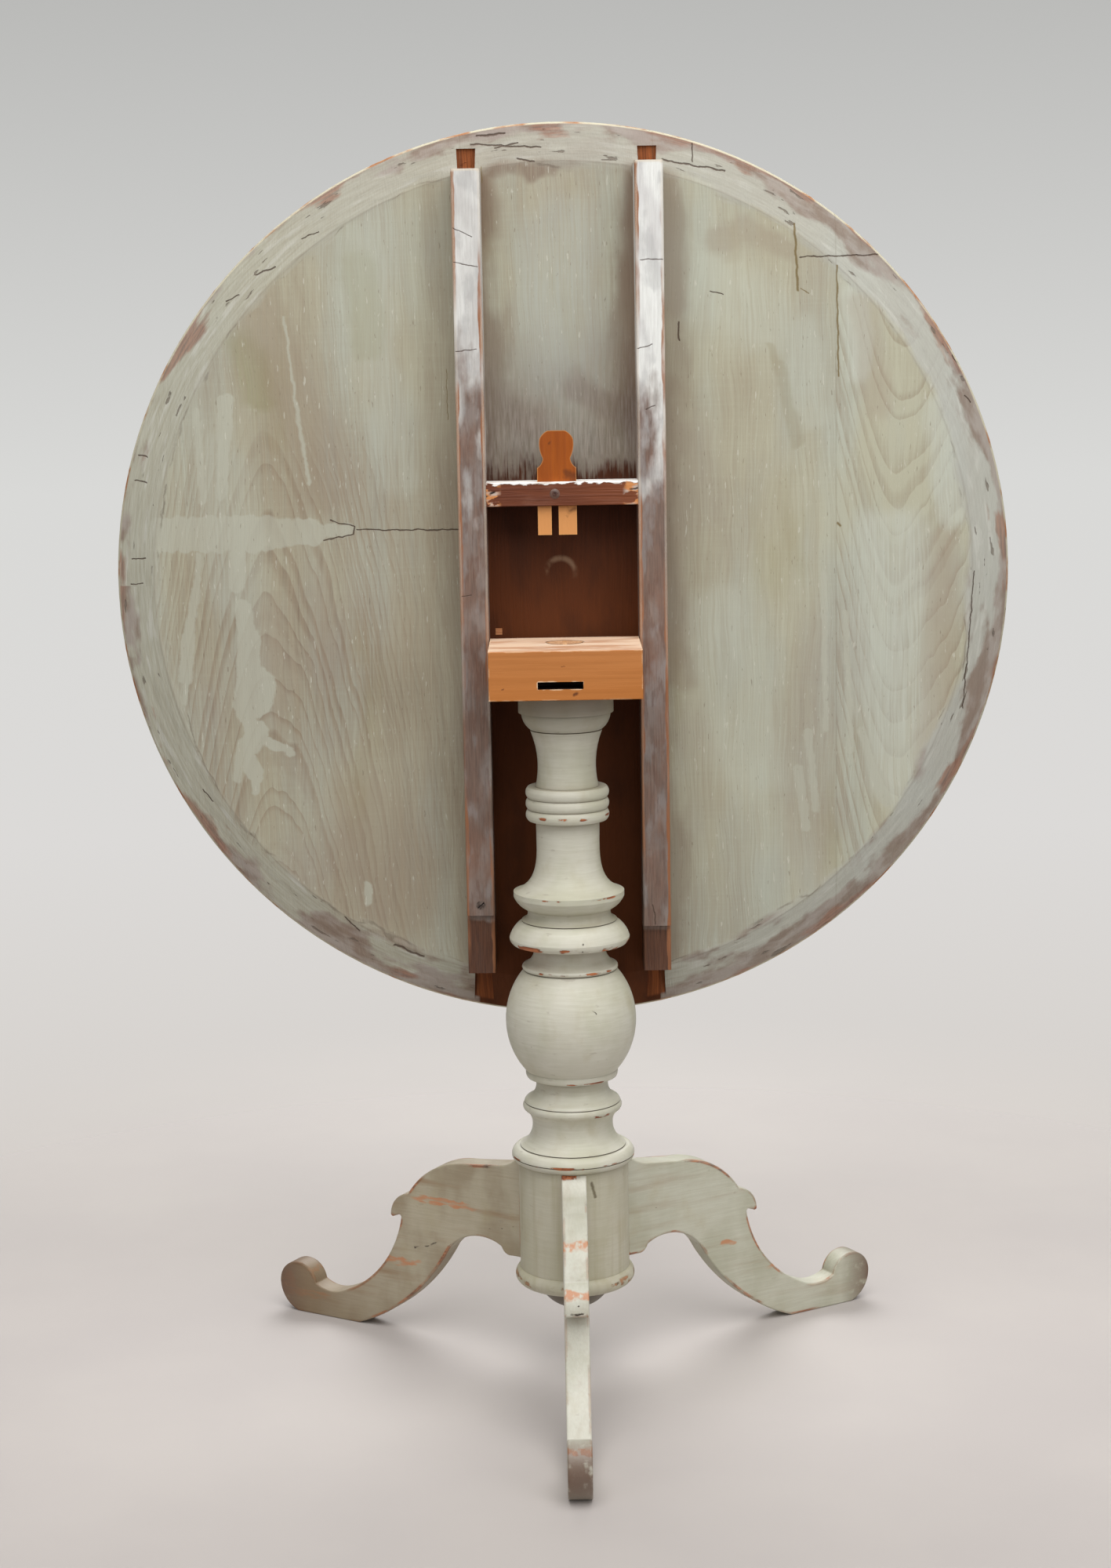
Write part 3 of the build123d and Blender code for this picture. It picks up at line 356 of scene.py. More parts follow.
# Top: four softwood boards edge to edge, with a wide bevel under the rim. The underside has a thin grey-green
# wash over the grain, thicker paint on the bevel, and bare brown wood in the bay around the block.
TOP_Z, TOP_RADIUS = 0.799, 0.450
BEVEL_START, BEVEL_DEPTH = 0.412, 0.009
UNDERSIDE, UPPER_FACE = 0.15513, 0.17913
BATTEN_X, BATTEN_HALF, GROOVE_HALF = 0.089, 0.014, 0.0120
RAIL_TOP = 0.8985
BOARD_JOINTS = (-0.095, 0.095, 0.275)
RING_STEP = 0.038
CUP_MARK = (-0.0026, 0.805, 0.015)
BOARD_FIGURE = {
    "board_left": dict(centre=-0.298, lift=1.0, lean=0.0, cone=2.6, bend=12.0, contrast=0.48, ceiling=0.90),
    "board_middle": dict(centre=-0.62, lift=0.12, lean=0.0, cone=0.0, bend=4.2, contrast=0.22, ceiling=1.3),
    "board_right": dict(centre=-0.36, lift=0.12, lean=0.0, cone=0.0, bend=5.0, contrast=0.26, ceiling=1.3),
    "board_outer_right": dict(centre=0.332, lift=-1.0, lean=-1.1, cone=2.0, bend=14.0, contrast=0.60,
                              ceiling=1.3),
}
RING_TIP = 0.018
BOARD_COVER = {"board_left": 0.24, "board_middle": 0.30, "board_right": 0.42, "board_outer_right": 0.62}
BATTEN_SHADE = {"board_left": 0.22, "board_middle": 0.6, "board_right": 0.45, "board_outer_right": 0.0}
THICK_PAINT = {
    "board_left": ((-404, 850, -300, 850, 19), (-300, 850, -252, 851, 15), (-252, 851, -216, 852, 8),
                   (-366, 828, -370, 794, 4), (-370, 794, -380, 746, 6), (-380, 746, -384, 705, 8),
                   (-384, 705, -387, 680, 4), (-326, 830, -329, 798, 9), (-324, 774, -319, 745, 10),
                   (-319, 745, -320, 712, 13), (-313, 696, -316, 684, 21), (-330, 676, -318, 652, 9),
                   (-313, 649, -323, 633, 12), (-326, 620, -318, 606, 11), (-318, 606, -317, 588, 5),
                   (-308, 640, -280, 628, 6), (-330, 640, -336, 600, 5), (-363, 972, -360, 883, 5),
                   (-334, 982, -337, 947, 9), (-337, 947, -341, 890, 7), (-273, 1062, -264, 981, 2),
                   (-264, 981, -253, 899, 3), (-205, 488, -206, 470, 5)),
    "board_middle": ((-4, 1226, 6, 1222, 5),),
    "board_right": ((262, 800, 264, 640, 4), (246, 640, 254, 560, 5), (236, 600, 244, 540, 6)),
    "board_outer_right": ((284, 760, 290, 620, 4), (300, 640, 316, 594, 5), (316, 594, 326, 566, 7)),
}
BOARD_CLOUDS = {
    "board_left": (
        ("#87815a", 0.5, ((-312, 1036, -300, 980, 26), (-196, 1110, -190, 1040, 24))),
        ("#8d7a68", 0.35, ((-300, 1080, -230, 900, 40), (-205, 560, -180, 480, 70))),
        ("#b1b2a4", 0.5, ((-335, 905, -330, 800, 40), (-190, 1110, -165, 900, 30))),
    ),
    "board_middle": (
        ("#a2a6a1", 0.5, ((0, 1130, 10, 1010, 60),)),
        ("#735a4c", 0.75, ((-84, 1200, -78, 1140, 30), (82, 1200, 82, 960, 24), (-60, 1215, 50, 1216, 16))),
        ("#7c695c", 0.6, ((-70, 975, -30, 955, 34), (-84, 1100, -84, 930, 18), (20, 985, 70, 960, 26))),
    ),
    "board_right": (
        ("#b7b9aa", 0.6, ((122, 1100, 200, 1050, 50), (240, 1040, 250, 960, 26), (150, 760, 190, 600, 50))),
        ("#7d6c45", 0.28, ((205, 1024, 222, 985, 6), (218, 1000, 236, 930, 9))),
        ("#8a7766", 0.4, ((106, 1180, 106, 1080, 26), (110, 980, 112, 700, 24), (160, 1130, 225, 1120, 22))),
    ),
    "board_outer_right": (
        ("#bdbfb2", 0.8, ((330, 830, 342, 600, 56), (290, 1080, 300, 1010, 20), (380, 960, 392, 860, 24))),
        ("#9a8877", 0.4, ((386, 830, 372, 620, 26), (300, 1070, 322, 960, 22))),
    ),
}
BOARD_MARKS = {
    "board_left": ((-206, 852, -104, 850, 0.9), (-232, 862, -208, 855, 0.8), (-208, 855, -210, 847, 0.8),
                   (-210, 847, -240, 842, 0.8), (-434, 826, -420, 827, 0.9), (-436, 800, -424, 802, 0.8),
                   (-428, 905, -416, 903, 0.9), (-424, 930, -414, 928, 0.8), (-300, 1105, -280, 1112, 1.0),
                   (-330, 1080, -318, 1086, 0.8), (-252, 1140, -236, 1146, 0.8),
                   (-230, 455, -216, 440, 0.9), (-180, 425, -150, 412, 1.4), (-372, 590, -362, 578, 0.8)),
    "board_middle": ((-84, 1228, -15, 1224, 1.1), (-60, 1224, -38, 1229, 0.9), (-38, 1213, -22, 1210, 1.2),
                     (-78, 1236, -50, 1238, 1.4)),
    "board_right": ((134, 1226, 134, 1208, 0.8), (104, 1210, 166, 1198, 1.1), (239, 1113, 275, 1114, 0.8),
                    (150, 1082, 163, 1079, 0.8), (118, 1052, 119, 1034, 1.0)),
    "board_outer_right": ((275, 1114, 318, 1115, 0.9), (392, 1015, 398, 1006, 0.9),
                          (404, 975, 410, 968, 0.8), (414, 800, 404, 660, 0.7)),
}
OLIVE_CRACKS = {
    "board_left": ((-113, 1010, -112.5, 960, 0.5),),
    "board_middle": ((-74, 1206, -73, 1190, 0.5),),
    "board_right": ((234, 1146, 237, 1081, 1.7), (240, 1083, 248, 1078, 0.7)),
    "board_outer_right": ((275.6, 1104, 277.4, 996, 1.3), (277, 850, 279, 848, 1.6)),
}


def on_boards(rows):
    """Marks on the flat of the boards, from rows in millimetres: start x and z, end x and z, half width."""
    return [((x, 0, z), (end_x, 0, end_z), width) for x, z, end_x, end_z, width in rows]


def board_finish(name, centre, lift, lean, cone, bend, contrast, ceiling):
    """Washed board with thick patches of paint, cracks and its own growth rings, which nest around centre.
    Lift, lean, cone and bend shape the arches; contrast is their strength and ceiling how high they reach."""
    # A milky grey-green veil with the brown rings showing through it.
    material, tree, place = start_finish("grey_green_wash_on_" + name)
    x, y, z = (add(tree, "SeparateXYZ", {0: place}, out=axis) for axis in "XYZ")
    flat_place = add(tree, "Mapping", {"Vector": place, "Scale": (1, 0, 1)})
    flat = add(tree, "Mapping", {"Vector": place, "Location": (0, 0, -TOP_Z), "Scale": (1, 0, 1)})
    radius = add(tree, "VectorMath", {0: flat}, out="Value", operation="LENGTH")
    from_middle = add(tree, "Math", {0: x}, operation="ABSOLUTE")
    beside = apart(tree, from_middle, BATTEN_X)
    # Growth rings: the saw cut them into nested arches and long straight lines, uneven from year to year.
    drawn = add(tree, "Mapping", {"Vector": place, "Scale": (1, 1, 0.3)})
    wander = add(tree, "TexNoise", {"Vector": drawn, "Scale": 16.0, "Detail": 4.0})
    wander = add(tree, "Math", {0: wander, 1: 0.5}, operation="SUBTRACT")
    across = add(tree, "Math", {0: wander, 1: 0.028, 2: x}, operation="MULTIPLY_ADD")
    across = add(tree, "Math", {0: across, 1: centre}, operation="SUBTRACT")
    bow = add(tree, "Math", {0: across, 1: across}, operation="MULTIPLY")
    pointed = add(tree, "Math", {0: add(tree, "Math", {0: bow, 1: RING_TIP ** 2}, operation="ADD")},
                  operation="SQRT")
    rise = add(tree, "Math", {0: z, 1: lift}, operation="MULTIPLY")
    for part, share in ((across, lean), (pointed, cone), (wander, 0.05)):
        rise = add(tree, "Math", {0: part, 1: share, 2: rise}, operation="MULTIPLY_ADD")
    years = add(tree, "Math", {0: bow, 1: bend, 2: rise}, operation="MULTIPLY_ADD")
    years = add(tree, "Math", {0: years, 1: RING_STEP}, operation="DIVIDE")
    uneven = add(tree, "TexNoise", {"W": years, "Scale": 0.9, "Detail": 1.0}, noise_dimensions="1D")
    years = add(tree, "Math", {0: uneven, 1: 1.6, 2: years}, operation="MULTIPLY_ADD")
    ring = add(tree, "ValToRGB", {0: add(tree, "Math", {0: years}, operation="FRACT")},
               stops=((0.0, "#484848"), (0.45, "#707070"), (0.88, "#e8e8e8"), (0.94, "#141414"),
                      (1.0, "#484848")))
    plain = add(tree, "MapRange", {0: bow, 1: 0.004, 2: 0.022, 3: contrast, 4: contrast * 0.4})
    ring = add(tree, "Math", {0: ring, 1: plain}, operation="MULTIPLY")
    straight = add(tree, "MapRange", {0: z, 1: ceiling + 0.06, 2: ceiling - 0.02, 3: 0.15, 4: 1.0})
    ring = add(tree, "Math", {0: ring, 1: straight}, operation="MULTIPLY")
    leaning = add(tree, "CombineXYZ", {0: across, 1: y, 2: z})
    hairs = blotches(tree, leaning, 1.7, 0.3, 0.72, (1, 1, 0.02), 0.7, 4.0)
    lines = blotches(tree, leaning, 5, 0.35, 0.72, (1, 1, 0.015), 3.7, 6.0)
    # Wash: thin enough to leave the darker wood of each ring showing, drawn out in long upright bands.
    cloud = blotches(tree, place, 120, 0.34, 0.66, (1, 1, 0.5), 1.3, 6.0)
    bands = blotches(tree, place, 26, 0.35, 0.68, (1, 1, 0.06), 2.2, 5.0)
    wiped = blotches(tree, place, 3, 0.4, 0.8, (0.04, 1, 1), 6.1, 4.0)
    cover = add(tree, "Math", {0: cloud, 1: 0.30, 2: BOARD_COVER[name]}, operation="MULTIPLY_ADD")
    for layer, share in ((bands, 0.12), (lines, 0.14), (hairs, 0.24), (wiped, 0.06)):
        cover = add(tree, "Math", {0: layer, 1: share, 2: cover}, operation="MULTIPLY_ADD")
    cover = add(tree, "Math", {0: cover, 1: ring}, operation="SUBTRACT", use_clamp=True)
    taupe = lay(tree, "#93846f", lines, "#806f5d")
    wash = lay(tree, "#b3b09a", blotches(tree, place, 80, 0.4, 0.65, (1, 1, 0.3), 4.4), "#b1b3a4")
    colour = lay(tree, taupe, cover, wash)
    colour = lay(tree, colour, blotches(tree, place, 60, 0.56, 0.74, (1, 1, 0.3), 8.8), "#92875f", 0.32)
    colour = lay(tree, colour, blotches(tree, place, 90, 0.52, 0.72, (1, 1, 0.5), 17.0), "#8f8078", 0.25)
    streaky = add(tree, "Math", {0: hairs, 1: 0.5, 2: 0.5}, operation="MULTIPLY_ADD")
    for tint, depth, rows in BOARD_CLOUDS[name]:
        cloudy = strokes(tree, flat_place, on_boards(rows), (0.03, 0.0, 0.08), 60.0, 14.0)
        cloudy = add(tree, "MapRange", {0: cloudy, 4: depth}, interpolation_type="SMOOTHSTEP")
        cloudy = add(tree, "Math", {0: cloudy, 1: streaky}, operation="MULTIPLY")
        colour = lay(tree, colour, cloudy, tint)
    patch = strokes(tree, flat_place, on_boards(THICK_PAINT[name]), (0.007, 0.0, 0.012), 2.0)
    thickness = add(tree, "Math", {0: bands, 1: 0.25, 2: 0.55}, operation="MULTIPLY_ADD")
    patch = add(tree, "Math", {0: patch, 1: thickness}, operation="MULTIPLY")
    colour = lay(tree, colour, patch, "#b2b1a1")
    for tint, size, shift in (("#cdcbbd", 2.6, 61.0), ("#6c5d4c", 2.2, 67.0)):
        specks = blotches(tree, place, size, 0.66, 0.72, (1, 1, 0.2), shift, 3.0)
        colour = lay(tree, colour, specks, tint, 0.45)
    # Brown beside the battens: partly where the brush couldn't reach, partly painted shade of the battens.
    missed_and_shaded = blotches(tree, place, 60, 0.3, 0.7, (1, 1, 0.4), 5.5, 6.0)
    reach = add(tree, "Math", {0: missed_and_shaded, 1: 0.030, 2: BATTEN_HALF}, operation="MULTIPLY_ADD")
    shade = add(tree, "Math", {0: beside, 1: reach}, operation="SUBTRACT")
    shade = add(tree, "MapRange", {0: shade, 1: 0.012, 2: -0.012, 4: BATTEN_SHADE[name]},
                interpolation_type="SMOOTHSTEP")
    colour = lay(tree, colour, shade, "#75604f")
    # Bay between the battens: the wash turns bluish and fades towards the rail; below it the wood is bare.
    in_bay = add(tree, "MapRange", {0: from_middle, 1: BATTEN_X + 0.006, 2: BATTEN_X + 0.004})
    bristles = blotches(tree, place, 1.6, 0.25, 0.75, (1, 1, 0.08), 3.3, 6.0)
    tufts = blotches(tree, place, 30, 0.3, 0.7, (1, 1, 0.8), 8.3, 5.0)
    ragged = add(tree, "Math", {0: bristles, 1: 0.020, 2: z}, operation="MULTIPLY_ADD")
    ragged = add(tree, "Math", {0: tufts, 1: 0.016, 2: ragged}, operation="MULTIPLY_ADD")
    fading = add(tree, "MapRange", {0: ragged, 1: RAIL_TOP + 0.20, 2: RAIL_TOP + 0.03, 4: 0.72},
                 interpolation_type="SMOOTHSTEP")
    fading = add(tree, "Math", {0: fading, 1: in_bay}, operation="MULTIPLY")
    dusk = lay(tree, "#8a8079", bristles, "#54443b")
    colour = lay(tree, colour, fading, dusk)
    bared = add(tree, "MapRange", {0: ragged, 1: RAIL_TOP + 0.044, 2: RAIL_TOP + 0.016},
                interpolation_type="SMOOTHSTEP")
    bared = add(tree, "Math", {0: bared, 1: in_bay}, operation="MULTIPLY")
    # The bare brown is deepened with painted shade, darkest just under the rail and lighter lower down.
    brown = lay(tree, "#45200b", hairs, "#381908")
    lighter_below_rail_shade = add(tree, "MapRange", {0: z, 1: RAIL_TOP - 0.02, 2: TOP_Z - 0.05, 4: 0.7})
    brown = lay(tree, brown, lighter_below_rail_shade, "#60300f")
    drips = blotches(tree, place, 30, 0.45, 0.7, (1, 1, 0.4), 6.6)
    brown = lay(tree, brown, drips, "#2a1307", 0.35)
    from_cup = add(tree, "Mapping", {"Vector": place, "Location": (-CUP_MARK[0], 0, -CUP_MARK[1]),
                                     "Scale": (1, 0, 1)})
    from_cup = add(tree, "VectorMath", {0: from_cup}, out="Value", operation="LENGTH")
    cup = apart(tree, from_cup, CUP_MARK[2])
    cup = add(tree, "MapRange", {0: cup, 1: 0.004, 2: 0.001, 4: 0.4})
    upper = add(tree, "MapRange", {0: z, 1: CUP_MARK[1] - 0.006, 2: CUP_MARK[1] + 0.008})
    cup = add(tree, "Math", {0: cup, 1: upper}, operation="MULTIPLY")
    cup = add(tree, "Math", {0: cup, 1: blotches(tree, place, 18, 0.42, 0.62, (1, 1, 1), 2.0, 5.0)},
              operation="MULTIPLY")
    brown = lay(tree, brown, cup, "#a58a70")
    colour = lay(tree, colour, bared, brown)
    # Bevel: brushed around with whiter paint, rubbed to a mauve brown low down and along its outer edge.
    up = add(tree, "Math", {0: z, 1: TOP_Z}, operation="SUBTRACT")
    angle = add(tree, "Math", {0: up, 1: x}, operation="ARCTAN2")
    arc = add(tree, "Math", {0: angle, 1: BEVEL_START}, operation="MULTIPLY")
    around = add(tree, "CombineXYZ", {0: arc, 1: radius})
    drag = blotches(tree, around, 9, 0.3, 0.72, (0.18, 1, 1), 2.5, 6.0)
    fine_drag = blotches(tree, around, 2.0, 0.3, 0.75, (0.06, 1, 1), 4.5, 4.0)
    rim_paint = lay(tree, "#aeac9d", fine_drag, "#9d9988")
    cold = add(tree, "MapRange", {0: x, 1: -0.1, 2: 0.35, 4: 0.6})
    rim_paint = lay(tree, rim_paint, cold, "#b0b1ad")
    flakes = blotches(tree, around, 6, 0.56, 0.68, (0.14, 1, 1), 28.0, 7.0)
    rim_paint = lay(tree, rim_paint, flakes, "#c6c5bd", 0.45)
    # Painted shade: the bevel is drawn darker towards its top, to even out the light from above.
    shaded = add(tree, "MapRange", {0: z, 1: TOP_Z + 0.30, 2: TOP_Z + 0.43, 4: 0.55})
    rim_paint = lay(tree, rim_paint, shaded, "#9c968c")
    low_down = add(tree, "MapRange", {0: z, 1: TOP_Z + 0.10, 2: TOP_Z - 0.40, 3: 0.0, 4: 0.42})
    outer = add(tree, "MapRange", {0: radius, 1: BEVEL_START + 0.008, 2: TOP_RADIUS, 3: -0.36, 4: 0.42})
    sideways = add(tree, "MapRange", {0: x, 1: -0.35, 2: 0.15, 3: -0.22, 4: 0.08})
    scrub = blotches(tree, around, 26, 0.22, 0.78, (0.45, 1, 1), 12.0, 8.0)
    for layer in (low_down, outer, sideways):
        scrub = add(tree, "Math", {0: scrub, 1: layer}, operation="ADD")
    scrubbed = add(tree, "MapRange", {0: scrub, 1: 0.52, 2: 0.86, 4: 0.85}, interpolation_type="SMOOTHSTEP")
    bruise = lay(tree, "#948680", blotches(tree, around, 12, 0.4, 0.6, (0.35, 1, 1), 19.0, 7.0), "#73594e")
    rim_paint = lay(tree, rim_paint, scrubbed, bruise)
    drawn = add(tree, "Mapping", {"Vector": around, "Location": (15, 15, 15), "Scale": (0.35, 1, 1)})
    red = add(tree, "TexNoise", {"Vector": drawn, "Scale": 34.0, "Detail": 8.0})
    red = add(tree, "Math", {0: outer, 1: 0.3, 2: red}, operation="MULTIPLY_ADD")
    red = add(tree, "MapRange", {0: red, 1: 0.60, 2: 0.66, 4: 0.8})
    rust = lay(tree, "#94604a", fine_drag, "#5d3a33")
    rim_paint = lay(tree, rim_paint, red, rust)
    nicks = blotches(tree, around, 6, 0.67, 0.70, (0.22, 1, 1), 25.0, 7.0)
    rim_paint = lay(tree, rim_paint, nicks, "#54433a", 0.75)
    frayed = blotches(tree, around, 30, 0.2, 0.8, (0.5, 1, 1), 20.0, 8.0)
    frayed = add(tree, "Math", {0: frayed, 1: 0.014, 2: radius}, operation="MULTIPLY_ADD")
    on_bevel = add(tree, "MapRange", {0: frayed, 1: BEVEL_START + 0.001, 2: BEVEL_START + 0.009})
    bare_bay = add(tree, "Math", {0: 1.0, 1: bared}, operation="SUBTRACT")
    on_bevel = add(tree, "Math", {0: on_bevel, 1: bare_bay}, operation="MULTIPLY")
    colour = lay(tree, colour, on_bevel, rim_paint, 0.8)
    step = apart(tree, radius, BEVEL_START)
    step = add(tree, "MapRange", {0: step, 1: 0.0016, 2: 0.0003})
    step = add(tree, "Math", {0: step, 1: bare_bay}, operation="MULTIPLY")
    colour = lay(tree, colour, step, "#6b5a4c", 0.16)
    torn = apart(tree, frayed, BEVEL_START + 0.004)
    torn = add(tree, "MapRange", {0: torn, 1: 0.0012, 2: 0.0004})
    torn = add(tree, "Math", {0: torn, 1: blotches(tree, around, 40, 0.5, 0.6, (1, 1, 1), 33.0, 5.0)},
               operation="MULTIPLY")
    torn = add(tree, "Math", {0: torn, 1: bare_bay}, operation="MULTIPLY")
    colour = lay(tree, colour, torn, "#57493c", 0.38)
    # Groove floors past the batten ends, cracks, the pale rounded edge with its painted highlight,
    # and the even paint of the upper face.
    fall = add(tree, "MapRange", {0: radius, 1: BEVEL_START, 2: TOP_RADIUS, 3: UNDERSIDE,
                                  4: UNDERSIDE + BEVEL_DEPTH})
    sunk = add(tree, "Math", {0: y, 1: fall}, operation="SUBTRACT")
    sunk = add(tree, "MapRange", {0: sunk, 1: 0.0006, 2: 0.0012})
    in_groove = add(tree, "MapRange", {0: beside, 1: GROOVE_HALF + 0.0005, 2: GROOVE_HALF})
    sunk = add(tree, "Math", {0: sunk, 1: in_groove}, operation="MULTIPLY")
    raw = lay(tree, "#8a4c25", hairs, "#5f3014")
    colour = lay(tree, colour, sunk, raw)
    above = add(tree, "MapRange", {0: y, 1: UPPER_FACE - 0.003, 2: UPPER_FACE - 0.001})
    below = add(tree, "Math", {0: 1.0, 1: above}, operation="SUBTRACT")
    cracks = strokes(tree, flat_place, on_boards(BOARD_MARKS[name]), (0.005, 0.0, 0.005))
    cracks = add(tree, "Math", {0: cracks, 1: below}, operation="MULTIPLY")
    colour = lay(tree, colour, cracks, "#4d3a2e", 0.85)
    split = strokes(tree, flat_place, on_boards(OLIVE_CRACKS[name]), (0.004, 0.0, 0.004))
    colour = lay(tree, colour, split, "#6f5c33", 0.85)
    # Painted highlight: a pale line on the rounded edge where it catches light, broken by worn orange wood.
    edge_highlight_line = add(tree, "MapRange", {0: radius, 1: TOP_RADIUS - 0.0026, 2: TOP_RADIUS - 0.0014})
    pale_edge_and_highlight = lay(tree, "#c5bea6", blotches(tree, place, 26, 0.48, 0.66, (1, 2.5, 1), 41.0, 9.0), "#a9744f")
    colour = lay(tree, colour, edge_highlight_line, pale_edge_and_highlight)
    even = lay(tree, "#b3b2a2", blotches(tree, place, 70, 0.3, 0.7, (1, 1, 0.12), 31.0, 7.0), "#a9a694")
    thin = add(tree, "Math", {0: hairs, 1: 0.28, 2: ring}, operation="MULTIPLY_ADD")
    even = lay(tree, even, thin, "#94896f")
    rim_rub = blotches(tree, around, 40, 0.2, 0.8, (0.5, 1, 1), 51.0, 8.0)
    rim_rub = add(tree, "Math", {0: rim_rub, 1: 0.016, 2: radius}, operation="MULTIPLY_ADD")
    rim_rub = add(tree, "MapRange", {0: rim_rub, 1: TOP_RADIUS + 0.003, 2: TOP_RADIUS + 0.009, 4: 0.8})
    even = lay(tree, even, rim_rub, "#9c7350")
    colour = lay(tree, colour, above, even)
    seam_depth = add(tree, "MapRange", {0: above, 3: 0.16, 4: 0.5})
    for joint in BOARD_JOINTS:
        off = apart(tree, x, joint)
        seam = add(tree, "MapRange", {0: off, 1: 0.0011, 2: 0.0003, 4: seam_depth})
        colour = lay(tree, colour, seam, "#6a5a44")
    height = add(tree, "Math", {0: hairs, 1: 0.35, 2: 0.5}, operation="MULTIPLY_ADD")
    height = add(tree, "Math", {0: ring, 1: -0.25, 2: height}, operation="MULTIPLY_ADD")
    on_bevel = add(tree, "Math", {0: on_bevel, 1: below}, operation="MULTIPLY")
    height = add(tree, "Math", {0: on_bevel, 1: drag, 2: height}, operation="MULTIPLY_ADD")
    dents = add(tree, "Math", {0: on_bevel, 1: -1.5}, operation="MULTIPLY")
    height = add(tree, "Math", {0: nicks, 1: dents, 2: height}, operation="MULTIPLY_ADD")
    height = add(tree, "Math", {0: cracks, 1: -2.0, 2: height}, operation="MULTIPLY_ADD")
    close_finish(tree, colour, 0.62, height, 0.0004, 0.2)
    return material


for name, figure in BOARD_FIGURE.items():
    dress(board_finish(name, **figure), name)


# Battens: two long softwood bars let into dovetail grooves along the boards. Their white-grey paint is nearly
# whole at the upper ends and worn to a purplish brown further down, with pale rubbed edges.
BATTEN_FRONT = 0.11013
# The right batten's paint is drawn lighter than the left's: painted light, as less light reaches it.
BATTEN_LOOK = {
    "batten_left": dict(seed=0.0, step=0.4637, middle=-0.089, worn_from=1.05, paints_with_painted_light=("#d8d7d2", "#bfbcb8"),
                        splits=((-103, 110, 1113), (-79, 110, 1108), (-103, 110, 1146), (-84, 110, 1137),
                                (-103, 110, 1027), (-82, 110, 1029), (-101, 110, 787), (-92, 110, 788))),
    "batten_right": dict(seed=5.0, step=0.4500, middle=0.089, worn_from=1.03, paints_with_painted_light=("#e6e6e1", "#d0cecb"),
                         splits=((80, 110, 1112), (103, 110, 1112), (76, 110, 1027), (90, 110, 1031),
                                 (84, 110, 968), (93, 110, 971), (85, 110, 472), (87, 110, 452))),
}


